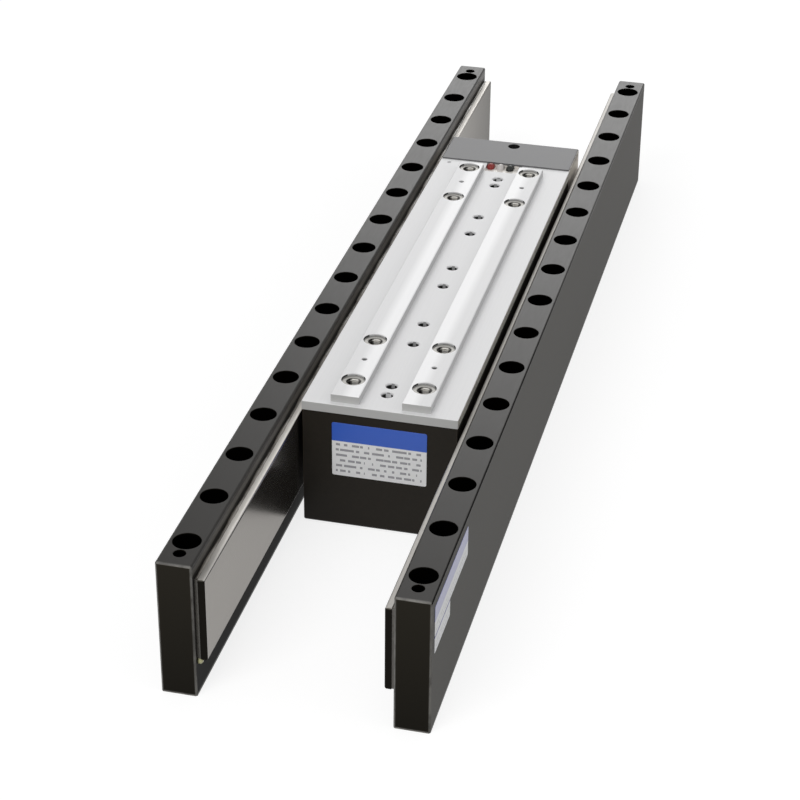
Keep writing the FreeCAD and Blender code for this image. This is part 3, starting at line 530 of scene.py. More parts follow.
def resin_discs(material):
    """Discs of casting resin, one standing on each point."""
    points, radius, depth = geometry_group("Bore resin", {"Radius": 3.5 * MM, "Depth": MM})
    return plant(points, rod(48, radius, depth), material)


def resin_beads(material):
    """Beads of resin along Y, one on each point, that swell once in each magnet pitch."""
    points, half, radius, swell, pitch, step = geometry_group("Resin beads", {
        "Half Length": 250 * MM, "Radius": 0.6 * MM, "Swell": 0.42, "Pitch": 32 * MM, "Step": MM})
    tree = points.tree
    line = wired(tree, "GeometryNodeCurvePrimitiveLine", {
        "Start": vector(tree, y=half * -1), "End": vector(tree, y=half)})
    line = wired(tree, "GeometryNodeResampleCurve", {"Curve": line, "Length": step}, mode="LENGTH")
    place = wired(tree, "GeometryNodeInputPosition")
    wave = calculate("COSINE", split(place)[1] / pitch * (2 * math.pi)) * swell
    swell = 0.75 - wave + noise(place, 90.0, 2.0) * 0.35
    bead = wired(tree, "GeometryNodeSetShadeSmooth", {0: swept(line, 10, radius, swell)})
    return plant(points, bead, material)


def grow(name, body, tree, places, sizes):
    """A plain mesh from a geometry node tree run on a set of points."""
    points = bpy.data.meshes.new(name + "_places")
    points.from_pydata(places, [], [])
    seed = place_object(name, points)
    modifier = seed.modifiers.new(tree.name, "NODES")
    modifier.node_group = tree
    sockets = {item.name: item.identifier for item in tree.interface.items_tree if item.in_out == "INPUT"}
    for label, value in sizes.items():
        modifier[sockets[label]] = value
    grown = seed.evaluated_get(bpy.context.evaluated_depsgraph_get())
    mesh = bpy.data.meshes.new_from_object(grown)
    seed.modifiers.remove(modifier)
    seed.data = mesh
    mesh.name = name
    bpy.data.meshes.remove(points)
    if not mesh.polygons:
        raise RuntimeError(f"{name} came out empty")
    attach(seed, body)
    return seed


# Sizes and colours that a user would change


def kind_of(make, **limits):
    """A maker of one kind of property."""
    return lambda name, about, default: make(name=name, description=about, default=default, **limits)


Colour = kind_of(FloatVectorProperty, subtype="COLOR", min=0, max=1)
Place = kind_of(FloatVectorProperty, subtype="TRANSLATION")
Length = kind_of(FloatProperty, unit="LENGTH", min=0, precision=5)
Angle = kind_of(FloatProperty, subtype="ANGLE")
Amount = kind_of(FloatProperty, min=0)
Count = kind_of(IntProperty, min=12, max=60)


class RailLook(PropertyGroup):
    steel: Colour("Rail steel", "Black oxide on the rails", (0.0085, 0.007, 0.005))
    # Partly real wear, partly a painted highlight on the end chamfers
    worn: Colour("Worn edge", "Rail edges, rubbed bright", (0.30, 0.29, 0.27))
    wear: Length("Wear width", "How far the rubbed edge reaches", 0.9 * MM)
    cover: Colour("Magnet cover", "Stainless sheet over the magnets", (0.40, 0.387, 0.372))
    # Painted dark reflection on the covers towards their rear ends
    cover_far: Colour("Cover, rear end", "The same sheet near the rear", (0.132, 0.129, 0.125))
    rim: Colour("Cover rim", "Upper edge of a cover, bead blasted", (0.74, 0.71, 0.665))
    end: Colour("End face", "Black oxide on the rails' sawn ends", (0.0175, 0.0155, 0.0118))
    # Lighter than the rail steel: a painted sheen on the outer faces
    outer: Colour("Outer face", "Black oxide on the rails' outer faces", (0.034, 0.0315, 0.0265))
    # Painted reflection: a lighter band on the rails' inner faces above the covers
    rubbed: Colour("Rubbed band", "Rails' inner faces above the covers", (0.33, 0.305, 0.27))
    # Near black with a mirror finish: painted shade in the holes, the slots and on the shaded inner faces
    hollow: Colour("Hollows", "Oiled walls of bolt holes and slots", (0.0012, 0.001, 0.0006))
    # Near black with a mirror finish: a painted dark reflection on the covers' ends
    sealed: Colour("Sealed end", "Dark resin on the covers' ends", (0.0105, 0.0095, 0.0078))
    # Darker than the pale resin of the drip: painted shade for resin in the shaded gaps
    resin: Colour("Resin", "Casting resin along the covers", (0.10, 0.092, 0.08))
    pale_resin: Colour("Resin drip", "Thick clear resin at a cover's corner", (0.62, 0.60, 0.33))
    bead: Length("Bead radius", "Bead between a cover and its rail", 0.85 * MM)
    drop: Length("Drop radius", "Drop at the left cover's front", 1.6 * MM)


class SliderLook(PropertyGroup):
    plate: Colour("Mounting plate", "Milled aluminium", (0.78, 0.78, 0.785))
    cut_end: Colour("Cut end", "Sawn front and rear faces", (0.54, 0.54, 0.53))
    # Light beige: a painted reflection on the plate's sides
    plate_side: Colour("Plate side", "The plate's side faces", (0.96, 0.92, 0.85))
    # Near black: painted shade in the plate's holes
    hole: Colour("Holes", "Oiled walls of the plate's holes", (0.02, 0.02, 0.019))
    bush: Colour("Bushes", "Turned steel", (0.36, 0.352, 0.335))
    # Painted highlight in the middle of a bore
    bore_wall: Colour("Thread", "Threads in the middle of a bore", (0.78, 0.76, 0.72))
    # Painted shade on the sides and in the depth of a bore
    bore: Colour("Bores", "Oiled walls of the bushes' bores", (0.035, 0.033, 0.03))
    mould: Colour("Coil block", "Black casting resin", (0.0155, 0.0125, 0.009))
    block: Colour("End block", "Grey satin coat", (0.158, 0.158, 0.161))
    # Light beige with a mirror finish: a painted reflection on the end block's sides
    block_side: Colour("End block side", "The end block's side faces", (0.96, 0.91, 0.84))
    # Painted shade: dark edges and a dark clamp hole on the end block
    block_edge: Colour("End block edges", "Its edges and its clamp hole", (0.03, 0.03, 0.03))
    screws: Colour("Screws", "Black oxide on small screws", (0.02, 0.02, 0.02))
    thread_pitch: Length("Thread pitch", "Pitch of the bushes' M6 thread", MM)
    thread_depth: Length("Thread depth", "Depth of that thread", 0.5 * MM)
    bore_resin: Length("Resin in bores", "Resin below each bush", 1.2 * MM)
    mark_pitch: Length("Tool marks", "Pitch of the marks on the plate's sides", 1.3 * MM)
    knurls: Count("Knurls", "Grooves round a screw head", 30)


class LabelLook(PropertyGroup):
    band: Colour("Header band", "Blue band of the slider label", (0.022, 0.112, 0.6))
    field: Colour("Field", "Silver-white field of a label", (0.96, 0.965, 0.98))
    # A darker copy of the slider label's field: painted shade on the rail labels
    rail_field: Colour("Rail label field", "Duller field of the rail labels", (0.56, 0.57, 0.59))
    ink: Colour("Ink", "Small print", (0.36, 0.36, 0.38))
    stripe: Colour("Rail stripe", "Stripe of the rail labels", (0.17, 0.18, 0.42))
    band_height: Length("Band height", "Header band of the slider label", 8.6 * MM)
    corner: Length("Corner radius", "Rounded corners of a label", 0.8 * MM)


class LeadLook(PropertyGroup):
    red: Colour("Red lead", "Insulation of the first phase", (0.24, 0.026, 0.022))
    white: Colour("White lead", "Insulation of the second phase", (0.60, 0.57, 0.55))
    black: Colour("Black lead", "Insulation of the third phase", (0.014, 0.016, 0.013))
    potting: Colour("Potting", "Cast resin round the leads", (0.80, 0.765, 0.72))
    loop: Length("Loop", "Rise above the way into the end block", 1.4 * MM)
    seal_set_back: Length("Seal set back", "From the end block's face to its resin", 0.2 * MM)
    seal_depth: Length("Seal depth", "Depth of that resin", 3 * MM)


class StageLook(PropertyGroup):
    azimuth: Angle("Azimuth", "Camera round the motor", math.radians(13.616))
    elevation: Angle("Elevation", "Camera above the horizon", math.radians(29.692))
    roll: Angle("Roll", "Camera about its own axis", math.radians(0.515))
    camera: Place("Camera", "Where the camera stands", (0.18966, -0.87729, 0.503))
    lens: Amount("Lens", "In millimetres, on a 36 mm sensor", 98.92)
    sky: Amount("Sky", "Plain light from all round", 0.42)
    key: Amount("Key light", "Soft light from the front, in watts", 16)
    side: Amount("Side light", "Soft light from the right, in watts", 3)
    back: Amount("Back light", "Low light from behind, in watts", 5)


# Rails


def finish_yokes(look):
    oxide = finish("black oxide steel", shades(look.steel, 0.75, 1.3), (0.32, 0.44), scale=900,
                   stretch=(1, 0.12, 1), depth=0.004 * MM, specular=0.22)
    low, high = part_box("right_yoke")
    cover_low, cover_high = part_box("right_magnet_cover")
    skin = 0.1 * MM
    edge = 0.4 * MM
    inner = low.x + skin
    slot_top = cover_high.z + 2 * MM
    # Near black with a mirror finish, used for painted shade and painted dark reflection
    hollow = (look.hollow, 0.7, 1.0)
    # Painted reflection: a lighter band high on the rails' inner faces
    paint(oxide, (0, 0, slot_top), (inner, 1, high.z - 1.8 * MM), look.rubbed, 0.45, soft=0.5 * MM)
    # Painted shadow on the inner faces just above the covers, and painted shade below the covers and in the
    # bolt holes
    paint(oxide, (0, 0, cover_high.z - 3 * MM), (inner, 1, slot_top), *hollow, soft=0.3 * MM)
    paint(oxide, (0, 0, MM), (inner, 1, cover_low.z + MM), *hollow)
    paint(oxide, (low.x + MM, 0, MM), (high.x - MM, high.y - MM, high.z - edge), *hollow)
    # Painted sheen: the outer faces get a lighter colour
    paint(oxide, (high.x - skin, 0, MM), (1, 1, high.z - MM), look.outer, 0.6)
    # Painted shade: the rails' end faces are darker towards the floor
    height = split(object_place(oxide.node_tree))[2]
    shaded_end = mixed(ranged(height, 0.0, 1.0, 0.0, high.z), *shades(look.end, 0.6, 1.15))
    paint(oxide, (0, high.y - skin, 0), (1, 1, high.z - edge), shaded_end, 0.5, 1.0)
    # Lighter end edges: partly real wear, partly a painted highlight on the chamfers
    wear_edges(oxide, low, high, look.wear, look.worn, 0.3, long_edges=0.0)
    # A dark line along the outer upper edge, which fades towards the rear: a painted dark reflection on the
    # chamfer
    fade = 80 * MM
    line = zone_mask(oxide, (high.x - 0.45 * MM, -1, high.z - 0.9 * MM), (1, 1, 1), soft=0.1 * MM)
    front = zone_mask(oxide, (-1, 1 - fade, -1), (1, 2, 1), middle=(0, 1, 0), soft=2 * fade)
    lay_over(oxide, line * front, *hollow)
    dress("left_yoke", oxide)
    dress("right_yoke", oxide)


def finish_covers(look):
    sheet = finish("brushed stainless sheet", shades(look.cover, 0.9, 1.08), (0.2, 0.26), scale=1500,
                   stretch=(1, 0.02, 1), depth=0.0006 * MM, metallic=1.0, tint=(0.6, 0.59, 0.575))
    _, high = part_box("left_magnet_cover")
    # From here to the rear end the sheet is painted darker: a painted dark reflection
    dark_from = 170 * MM
    paint(sheet, (-1, 1 + dark_from, -1), (1, 2, 1), look.cover_far, 0.24, middle=(0, -1, 0), soft=high.y - dark_from)
    # The rim is darker near the front, and along the right cover, where it is a painted dark reflection
    rim = zone_mask(sheet, (0, 0, high.z - 0.3 * MM), (1, 1, 1), soft=0.2 * MM)
    front = zone_mask(sheet, (-1, 1 + high.y - 35 * MM, -1), (1, 2, 1), middle=(0, 1, 0), soft=25 * MM)
    right = zone_mask(sheet, (1, 0, -1), (2, 1, 1), middle=(-1, 0, 0))
    lay_over(sheet, rim, look.rim, 0.4, 0.25)
    lay_over(sheet, rim * front, shade(look.rim, 0.45), 0.4)
    lay_over(sheet, rim * right, shade(look.rim, 0.62), 0.4)
    # Painted dark reflection on the covers' end faces, and painted shade over their upper corners
    paint(sheet, (0, high.y - 0.7 * MM, 0), (1, 1, high.z - 0.35 * MM), look.sealed, 0.5, 1.0)
    paint(sheet, (0, high.y - 0.5 * MM, high.z - 0.4 * MM), (1, 1, 1), shade(look.sealed, 6), 0.5, 0.5)
    magnet = finish("nickel plate", ((0.5, 0.49, 0.46), (0.62, 0.61, 0.58)), (0.2, 0.35), scale=300,
                    depth=0.003 * MM, metallic=1.0)
    for side in ("left", "right"):
        dress(f"{side}_magnet_cover", sheet)
        dress(f"{side}_north_magnets", magnet)
        dress(f"{side}_south_magnets", magnet)


def cast_resin(look):
    # Resin and beads are darker than the pale resin of the drip: painted shade in the gaps beside the covers
    resin = finish("casting resin", shades(look.resin, 0.6, 1.5), (0.18, 0.34), scale=160, depth=0.05 * MM)
    squeezed = finish("squeezed resin", shades(look.resin, 1.0, 3.2), (0.2, 0.36), scale=160, depth=0.05 * MM)
    tree = resin_beads(squeezed)
    for side, edge in (("left", 0), ("right", 1)):
        dress(f"{side}_magnet_resin", resin)
        low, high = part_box(f"{side}_magnet_resin")
        x = (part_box(f"{side}_magnet_cover")[edge].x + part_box(f"{side}_yoke")[1 - edge].x) / 2
        places = [(x, 0, high.z - look.bead / 5), (x, 0, low.z + look.bead / 3)]
        beads = grow(f"{side}_resin_beads", TRACK, tree, places, {
            "Half Length": (high.y - low.y) / 2 - look.bead, "Radius": look.bead})


def drip(look):
    """A drop of clear resin below the left cover's front end."""
    pale = finish("pale resin", shades(look.pale_resin, 0.85, 1.15), (0.12, 0.25), scale=300, depth=0.03 * MM)
    cover_low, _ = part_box("left_magnet_cover")
    _, yoke_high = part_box("left_yoke")
    shape = bmesh.new()
    bmesh.ops.create_icosphere(shape, subdivisions=4, radius=1.0)
    middle = Vector((yoke_high.x + look.drop / 3, cover_low.y + look.drop, cover_low.z - look.drop / 2))
    for vertex in shape.verts:
        x, y, z = vertex.co
        narrow = 0.75 - 0.25 * z
        vertex.co = middle + Vector((x * narrow, y * narrow, z)) * look.drop
    drop = new_piece("resin_drop", TRACK, shape, pale)
    smooth(drop, 60)


class MOTOR_OT_finish_rails(Operator):
    """Gives the rails black oxide, the covers brushed sheet, and casts the resin between them"""
    bl_idname = "motor.finish_rails"
    bl_label = "Finish rails"

    def execute(self, context):
        look = context.scene.rail_look
        finish_yokes(look)
        finish_covers(look)
        cast_resin(look)
        drip(look)
        return {"FINISHED"}


# Slider


def mill_plate(look):
    metal = finish("milled aluminium", shades(look.plate, 0.95, 1.04), (0.45, 0.6), scale=1200,
                   stretch=(1, 0.03, 1), depth=0.004 * MM, metallic=0.1, specular=0.25)
    low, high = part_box("mounting_plate")
    skin = 0.05 * MM
    corners = corners_of("mounting_plate")
    plate_top = max(corner.z for corner in corners if corner.x > high.x - MM)
    strip = [corner.y for corner in corners if corner.z > plate_top + MM]
    strip_side = min(abs(corner.x) for corner in corners if corner.z > high.z - skin)
    rise = high.z - plate_top
    # Painted highlight: a lighter band on the strips' tops along their inner edges
    paint(metal, (strip_side - rise, -1, plate_top), (strip_side + 2 * rise, 1, 1), shade(look.plate, 1.2),
          0.5, soft=rise)
    # Painted shade: the strips' side faces are darker
    paint(metal, (0, 0, plate_top + skin), (high.x - MM, 1, high.z - 0.35 * MM), shade(look.plate, 0.7), 0.5)
    for start, end, bottom in ((low.y, high.y, 0.0), (min(strip), max(strip), plate_top + skin)):
        half = (end - start) / 2
        paint(metal, (0, half - skin, bottom), (1, half + skin, high.z - skin), look.cut_end, 0.5,
              middle=(0, start + half, 0))
    # The tool marks are real; the light beige with a mirror finish is a painted reflection on the plate's
    # sides
    marks = use_group(metal.node_tree, tool_marks, {"Pitch": look.mark_pitch})["Value"]
    sides = mixed(marks, *shades(look.plate_side, 0.75, 1.1))
    paint(metal, (high.x - skin, 0, 0), (1, 1, high.z), sides, 0.3, 1.0)
    darken_holes(metal, look, plate_top, high.z)
    dress("mounting_plate", metal)


def darken_holes(metal, look, plate_top, strip_top):
    """Painted shade in the holes of the plate and of its strips, with lighter painted highlights in their
    middles.
    """
    screw_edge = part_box("plate_screws")[1].x
    bush_low, bush_high = solids_of("mounting_bushes")[-1]
    axis, radius = (bush_low.x + bush_high.x) / 2, (bush_high.x - bush_low.x) / 2
    seats_low, seats_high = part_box("mounting_bushes")
    middle = (0, (seats_low.y + seats_high.y) / 2, 0)
    reach = (seats_high.y - seats_low.y) / 2
    bush_top = bush_high.z - 0.05 * MM
    pin = 1.5 * MM
    zones = [((0, 0, 0), (screw_edge + MM, reach, plate_top - MM), look.hole),
             ((0, 0, 0), (0.3 * screw_edge, reach, plate_top - 0.3 * MM), shade(look.plate, 0.5)),
             ((0, reach - 1.5 * radius, 0), (0.5 * screw_edge, reach, plate_top - MM), look.plate),
             ((axis - pin, 0, 0), (axis + pin, reach - 2 * radius, bush_top), look.hole)]
    # The sides of a bush's seat, seen above the bush, painted dark as a dark reflection
    for inner, outer in ((-1.04, -0.7), (0.7, 1.04)):
        zones.append(((axis + inner * radius, 0, bush_top),
                      (axis + outer * radius, reach, strip_top - 0.05 * MM), look.hole))
    for low, high, colour in zones:
        paint(metal, low, high, colour, 0.5, middle=middle)


def set_bushes(look):
    steel = finish("turned steel", shades(look.bush, 0.8, 1.1), (0.38, 0.5), scale=2500,
                   stretch=(1, 1, 0.1), depth=0.003 * MM, metallic=1.0, tint=(0.6, 0.6, 0.6))
    solids = solids_of("mounting_bushes")
    low, high = solids[0]
    mount = next(item for item in frame["record"]["mounts"] if item["name"] == "slider_outer_bushes")
    places = [((low.x + high.x) / 2, (low.y + high.y) / 2, low.z) for low, high in solids]
    axis, radius = abs(low.x + high.x) / 2, (high.x - low.x) / 2
    bushes = grow("threaded_bushes", SLIDER, threaded_bushes(steel), places, {
        "Radius": radius, "Height": high.z - low.z, "Core Radius": mount["dims"]["hole_r_mm"] * MM,
        "Thread Depth": look.thread_depth, "Pitch": look.thread_pitch})
    # Painted light: the middle of a bore is painted bright as a highlight, its sides and depth dark as
    # painted shade
    half, off, fade = 0.3 * radius, 0.65 * radius, 0.3 * MM
    wall_top = high.z - 0.08 * MM
    for centre, reach, top, colour in (
            (axis, half, high.z - 0.3 * MM, look.bore_wall), (axis - off, half, wall_top, look.bore),
            (axis + off, half, wall_top, look.bore), (axis, radius, high.z - 3.2 * MM, look.bore)):
        paint(steel, (centre - reach, 0, 0), (centre + reach, 1, top), colour, 0.4, 0.3, soft=fade)
    smooth(bushes)
    fill_bores(look, places)
    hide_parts("mounting_bushes")


def fill_bores(look, bush_seats):
    """Casting resin in the plate's holes, to just below the bushes."""
    resin = finish("resin in the bores", shades(look.mould, 0.8, 1.25), (0.3, 0.45), scale=450,
                   depth=0.03 * MM)
    x, y, seat = bush_seats[0]
    hole = min(math.hypot(corner.x - x, corner.y - y) for corner in corners_of("mounting_plate")
               if corner.z < seat + MERGE)
    places = [(x, y, seat - look.bore_resin - MERGE) for x, y, seat in bush_seats]
    discs = grow("bore_resin", SLIDER, resin_discs(resin), places, {
        "Radius": hole - MERGE, "Depth": look.bore_resin})
    smooth(discs)


class MOTOR_OT_finish_plate(Operator):
    """Mills the mounting plate and sets its threaded bushes"""
    bl_idname = "motor.finish_plate"
    bl_label = "Finish mounting plate"

    def execute(self, context):
        look = context.scene.slider_look
        mill_plate(look)
        set_bushes(look)
        return {"FINISHED"}


def seat_screws(tree, name, node, thread, socket, look, axis, turn=0.0):
    """Screws by the width of their thread and the radius of their socket, heads level with a node's."""
    solids = solids_of(node)
    low, high = solids[0]
    seat = high[axis] - thread
    places = [(low + high) / 2 for low, high in solids]
    for place in places:
        place[axis] = seat
    screws = grow(name, SLIDER, tree, places, {
        "Head Radius": (high.x - low.x) / 2, "Head Height": thread, "Shank Radius": thread / 2,
        "Shank Length": seat - low[axis], "Socket Radius": socket, "Socket Depth": thread / 2,
        "Knurls": look.knurls, "Turn": (turn, 0.0, 0.0)})
    smooth(screws)
    return screws


class MOTOR_OT_set_screws(Operator):
    """Sets the socket screws of the plate and of the end block"""
    bl_idname = "motor.set_screws"
    bl_label = "Set screws"

    def execute(self, context):
        look = context.scene.slider_look
        oxide = finish("black oxide screw", shades(look.screws, 0.7, 1.5), (0.26, 0.42), scale=700,
                       depth=0.005 * MM)
        tree = socket_screws(oxide)
        # M2.5 screws in the plate, M4 screws in the end block
        plate_screws = seat_screws(
            tree, "plate_socket_screws", "plate_screws", 2.5 * MM, 1.15 * MM, look, axis=2)
        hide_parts("plate_screws")
        block_screws = seat_screws(
            tree, "block_socket_screws", "end_block_screws", 4 * MM, 1.73 * MM, look, axis=1,
            turn=-math.pi / 2)
        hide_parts("end_block_screws")
        dress("cable_clamp_screw", oxide)
        return {"FINISHED"}


def coat_end_block(look, leads):
    coat = finish("grey satin coat", shades(look.block, 0.92, 1.08), (0.45, 0.55), scale=1100,
                  depth=0.012 * MM, specular=0.3)
    low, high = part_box("end_block")
    # Painted shade: dark edges, which draw the shaded front lip above the plate
    wear_edges(coat, low, high, 0.5 * MM, look.block_edge, 0.5, long_edges=1.0)
    # Painted reflection: the block's side faces get light beige and a mirror finish
    paint(coat, (high.x - 0.4 * MM, 0, 0), (1, 1, high.z - 0.3 * MM), look.block_side, 0.3, 1.0)
    # Painted shade in the clamp screw's hole
    screw_low, screw_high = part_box("cable_clamp_screw")
    across = screw_high.x + 0.5 * MM
    paint(coat, (0, 0, 0), (across, across, high.z - 0.2 * MM), shade(look.block_edge, 0.1), 0.7,
          middle=(0, (screw_low.y + screw_high.y) / 2, 0))
    # Painted light: the block's front face round the leads gets the potting's cream, which lightens the shade
    # there
    potting_low, potting_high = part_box("lead_potting")
    paint(coat, (0, 0, potting_low.z), (potting_high.x, MM, potting_high.z + 1.4 * MM), leads.potting, 0.4,
          middle=(0, low.y, 0))
    dress("end_block", coat)


def finish_inside():
    """Materials of the pieces that the block closes in."""
    copper = finish("enamelled copper wire", ((0.52, 0.2, 0.07), (0.75, 0.34, 0.14)), (0.2, 0.35), scale=700,
                    stretch=(1, 0.1, 0.1), depth=0.15 * MM, metallic=0.9)
    for phase in "uvw":
        dress(f"phase_{phase}_coils", copper)
    dress("core_stack", finish(
        "stacked laminations", ((0.26, 0.26, 0.27), (0.4, 0.4, 0.41)), (0.35, 0.5), scale=1600,
        stretch=(0.05, 0.05, 1), depth=0.05 * MM, metallic=1.0))
    dress("slot_insulators", finish(
        "spool plastic", ((0.78, 0.76, 0.68), (0.86, 0.85, 0.78)), (0.4, 0.5), scale=600))
    dress("mould_inserts", finish(
        "insert brass", ((0.6, 0.42, 0.16), (0.72, 0.55, 0.25)), (0.25, 0.4), scale=900, metallic=1.0))
    dress("winding_thermistor", finish(
        "sensor coat", ((0.03, 0.08, 0.03), (0.06, 0.14, 0.05)), (0.3, 0.45), scale=900))


class MOTOR_OT_finish_blocks(Operator):
    """Finishes the moulded coil block, the end block and what is inside them"""
    bl_idname = "motor.finish_blocks"
    bl_label = "Finish coil and end block"

    def execute(self, context):
        look = context.scene.slider_look
        resin = finish("black casting resin", shades(look.mould, 0.8, 1.25), (0.36, 0.5), scale=450,
                       depth=0.02 * MM, specular=0.15)
        low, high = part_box("coil_mould")
        wear_edges(resin, low, high, 0.5 * MM, shade(look.mould, 2.2), 0.4)
        dress("coil_mould", resin)
        coat_end_block(look, context.scene.lead_look)
        dress("cable_gland", finish(
            "gland rubber", ((0.014, 0.014, 0.014), (0.026, 0.026, 0.026)), (0.6, 0.75), scale=800,
            depth=0.03 * MM))
        finish_inside()
        return {"FINISHED"}


def lay_lead(look, phase, silicone):
    """A lead that stands up from the potting and bends back into the end block."""
    node = f"phase_lead_{phase}"
    low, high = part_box(node)
    radius = (high.x - low.x) / 2
    x = (low.x + high.x) / 2
    entry = high.z - radius
    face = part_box("end_block")[0].y
    crest = entry + look.loop
    path = ((high.y, entry), (face + 2 * MM, entry), (face, entry + 0.6 * look.loop), (face - radius, crest),
            (low.y + 1.1 * radius, crest), (low.y + radius, entry - radius / 2), (low.y + radius, low.z))
    curve = bpy.data.curves.new(node, "CURVE")
    curve.dimensions = "3D"
    curve.bevel_depth = radius
    curve.bevel_resolution = 6
    curve.use_fill_caps = True
    line = curve.splines.new("NURBS")
    line.points.add(len(path) - 1)
    for point, (y, z) in zip(line.points, path):
        point.co = (x, y, z, 1)
    line.order_u = 3
    line.use_endpoint_u = True
    line.resolution_u = 8
    holder = bpy.data.objects.new(node, curve)
    mesh = bpy.data.meshes.new_from_object(holder)
    shape = bmesh.new()
    shape.from_mesh(mesh)
    bpy.data.batch_remove((holder, curve, mesh))
    bmesh.ops.remove_doubles(shape, verts=shape.verts, dist=MERGE)
    lead = new_piece(f"{phase}_lead_loop", SLIDER, shape, silicone)
    smooth(lead, 60)
    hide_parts(node)


def close_opening(look, cream):
    """Resin that closes the end block's front opening round the leads."""
    potting_low, potting_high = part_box("lead_potting")
    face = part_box("end_block")[0].y
    rim = [corner.z for corner in corners_of("end_block")
           if corner.y < face + MERGE and abs(corner.x) < potting_high.x + MERGE]
    low = Vector((potting_low.x, face + look.seal_set_back, potting_low.z))
    high = Vector((potting_high.x, face + look.seal_set_back + look.seal_depth, max(rim)))
    shape = bmesh.new()
    bmesh.ops.create_cube(shape, size=1.0, matrix=Matrix.LocRotScale((low + high) / 2, None, high - low))
    bmesh.ops.bevel(shape, geom=shape.edges[:], offset=0.2 * MM, segments=3, affect="EDGES")
    seal = new_piece("lead_seal", SLIDER, shape, cream)
    smooth(seal)


class MOTOR_OT_lay_leads(Operator):
    """Lays the phase leads in a loop over their potting"""
    bl_idname = "motor.lay_leads"
    bl_label = "Lay leads"

    def execute(self, context):
        look = context.scene.lead_look
        for phase in ("red", "white", "black"):
            silicone = finish(f"{phase} silicone", shades(getattr(look, phase), 0.88, 1.1), (0.36, 0.5),
                              scale=900, specular=0.3)
            lay_lead(look, phase, silicone)
        dress("lead_splices", finish(
            "tinned copper", ((0.6, 0.6, 0.6), (0.74, 0.74, 0.73)), (0.25, 0.4), scale=700, metallic=1.0))
        cream = finish("cream potting resin", shades(look.potting, 0.85, 1.12), (0.2, 0.35), scale=350,
                       depth=0.12 * MM)
        dress("lead_potting", cream)
        close_opening(look, cream)
        return {"FINISHED"}


def stick_front(look, turn):
    low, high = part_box("front_label")
    band_bottom = (high.z - low.z - look.band_height) / MM
    shape = bmesh.new()
    rounded_foil(shape, low, high, look.corner, high.y - low.y, turn)
    label = new_piece("slider_label_foil", SLIDER, shape, printed(
        "slider label print", look, look.field, look.band, band_bottom,
        {"Left": 1.6, "Right": (high.x - low.x) / MM - 2.0, "Bottom": 1.8, "Top": band_bottom - 1.0,
         "Row Pitch": 2.5, "Row Height": 0.42, "Bar Length": 3.4}))
    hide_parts("front_label")


def stick_rail(look, turn):
    foils = sorted(solids_of("rail_labels"), key=lambda box: box[0].y - box[1].y)
    shape = bmesh.new()
    for low, high in foils:
        rounded_foil(shape, low, high, look.corner, high.x - low.x, turn)
    low, high = foils[0]
    label = new_piece("rail_label_foils", TRACK, shape, printed(
        "rail label print", look, look.rail_field, look.stripe, (high.z - low.z) / MM * 0.5,
        {"Left": 2.0, "Right": (high.y - low.y) / MM - 3, "Bottom": 1.4, "Top": 5.0,
         "Row Pitch": 1.9, "Row Height": 0.4, "Bar Length": 2.2}))
    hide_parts("rail_labels")


def printed(name, look, paper, band, band_bottom, rows):
    """Pale foil with a coloured band above a height and rows of plain bars below it."""
    foil = finish(name, shades(paper, 0.93, 1.06), (0.25, 0.4), scale=500, coat=0.3)
    place = wired(foil.node_tree, "ShaderNodeUVMap", uv_map="print")
    lay_over(foil, use_group(foil.node_tree, print_rows, {"Map": place, **rows})["Ink"], look.ink)
    lay_over(foil, calculate("GREATER_THAN", split(place)[1], band_bottom), band)
    return foil


class MOTOR_OT_stick_labels(Operator):
    """Sticks the labels on the slider's front and on the right rail"""
    bl_idname = "motor.stick_labels"
    bl_label = "Stick labels"

    def execute(self, context):
        look = context.scene.label_look
        upright = Matrix.Rotation(math.radians(90), 3, "X")
        stick_front(look, upright)
        stick_rail(look, Matrix.Rotation(math.radians(90), 3, "Z") @ upright)
        return {"FINISHED"}


# Stage


def seen_directly(tree):
    """1 for rays that should meet the plain background, 0 for light."""
    rays = new_node(tree, "ShaderNodeLightPath").outputs
    seen = [Wire(rays[name]) for name in ("Is Camera Ray", "Is Glossy Ray", "Is Transmission Ray")]
    return highest(highest(seen[0], seen[1]), seen[2])


def lay_floor():
    mesh = bpy.data.meshes.new("floor")
    mesh.from_pydata([(-6, -6, 0), (6, -6, 0), (6, 6, 0), (-6, 6, 0)], [], [(0, 1, 2, 3)])
    material, tree, shader = new_material("white floor", {
        "Base Color": (0.3, 0.3, 0.3), "Roughness": 1.0, "Specular IOR Level": 0.0,
        "Emission Color": (1, 1, 1)})
    glow = 0.8
    (seen_directly(tree) * glow).into(shader.inputs["Emission Strength"])
    mesh.materials.append(material)
    floor = place_object("floor", mesh)


def light_sky(scene, look):
    world = bpy.data.worlds.new("plain sky")
    world.use_nodes = True
    tree = world.node_tree
    light = ranged(seen_directly(tree), look.sky, 1.0)
    set_inputs(tree.nodes["Background"], {"Strength": light, "Color": (1, 1, 1)})
    scene.world = world


def hang_lamp(name, place, size, power):
    """A soft square lamp that faces the motor's middle."""
    lamp = bpy.data.lights.new(name, "AREA")
    lamp.size = size
    lamp.energy = power
    aim = (CAD_BOX[0] + CAD_BOX[1]) / 2 - Vector(place)
    turn = aim.to_track_quat("-Z", "Y").to_matrix().to_4x4()
    place_object(name, lamp).matrix_world = Matrix.Translation(place) @ turn


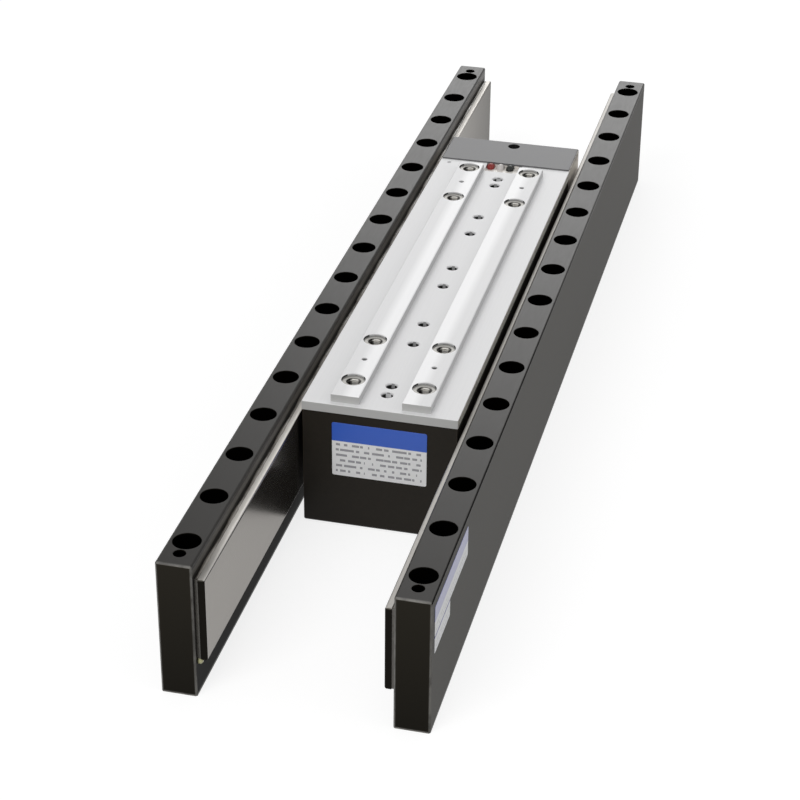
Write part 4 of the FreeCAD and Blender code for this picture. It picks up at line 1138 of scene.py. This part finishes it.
def set_camera(scene, look):
    lens = bpy.data.cameras.new("camera")
    lens.lens = look.lens
    lens.sensor_width = 36
    lens.clip_start = 0.01
    turn = (Matrix.Rotation(look.azimuth, 4, "Z") @ Matrix.Rotation(math.pi / 2 - look.elevation, 4, "X")
            @ Matrix.Rotation(look.roll, 4, "Z"))
    camera = place_object("camera", lens)
    camera.matrix_world = Matrix.Translation(look.camera) @ turn
    scene.camera = camera
    scene.view_settings.view_transform = "Standard"


class MOTOR_OT_set_stage(Operator):
    """Lays the floor and sets the lights and the camera"""
    bl_idname = "motor.set_stage"
    bl_label = "Set stage"

    def execute(self, context):
        look = context.scene.stage_look
        lay_floor()
        light_sky(context.scene, look)
        hang_lamp("key softbox", (-0.45, -1.5, 1.35), 1.2, look.key)
        hang_lamp("side softbox", (1.3, -0.1, 0.8), 1.0, look.side)
        hang_lamp("back softbox", (-0.15, 1.5, 0.62), 0.7, look.back)
        set_camera(context.scene, look)
        return {"FINISHED"}


# Panel and start

LOOKS = {"rail_look": RailLook, "slider_look": SliderLook, "label_look": LabelLook, "lead_look": LeadLook,
         "stage_look": StageLook}
OPERATORS = (MOTOR_OT_finish_rails, MOTOR_OT_finish_plate, MOTOR_OT_set_screws, MOTOR_OT_finish_blocks,
             MOTOR_OT_lay_leads, MOTOR_OT_stick_labels, MOTOR_OT_set_stage)


class MOTOR_PT_finish(Panel):
    """Lists the steps and their sizes and colours"""
    bl_idname = "MOTOR_PT_finish"
    bl_label = "Linear motor"
    bl_space_type = "VIEW_3D"
    bl_region_type = "UI"
    bl_category = "Linear Motor"

    def draw(self, context):
        for operator in OPERATORS:
            self.layout.operator(operator.bl_idname)
        for name, look in LOOKS.items():
            box = self.layout.box()
            for field in look.__annotations__:
                box.prop(getattr(context.scene, name), field)


add_classes, drop_classes = bpy.utils.register_classes_factory((*LOOKS.values(), *OPERATORS, MOTOR_PT_finish))


def register():
    add_classes()
    for name, look in LOOKS.items():
        setattr(bpy.types.Scene, name, PointerProperty(type=look))


def unregister():
    for name in LOOKS:
        delattr(bpy.types.Scene, name)
    drop_classes()


def main():
    register()
    bpy.ops.motor.finish_rails()
    bpy.ops.motor.finish_plate()
    bpy.ops.motor.set_screws()
    bpy.ops.motor.finish_blocks()
    bpy.ops.motor.lay_leads()
    bpy.ops.motor.stick_labels()
    bpy.ops.motor.set_stage()


if __name__ == "__main__":
    main()
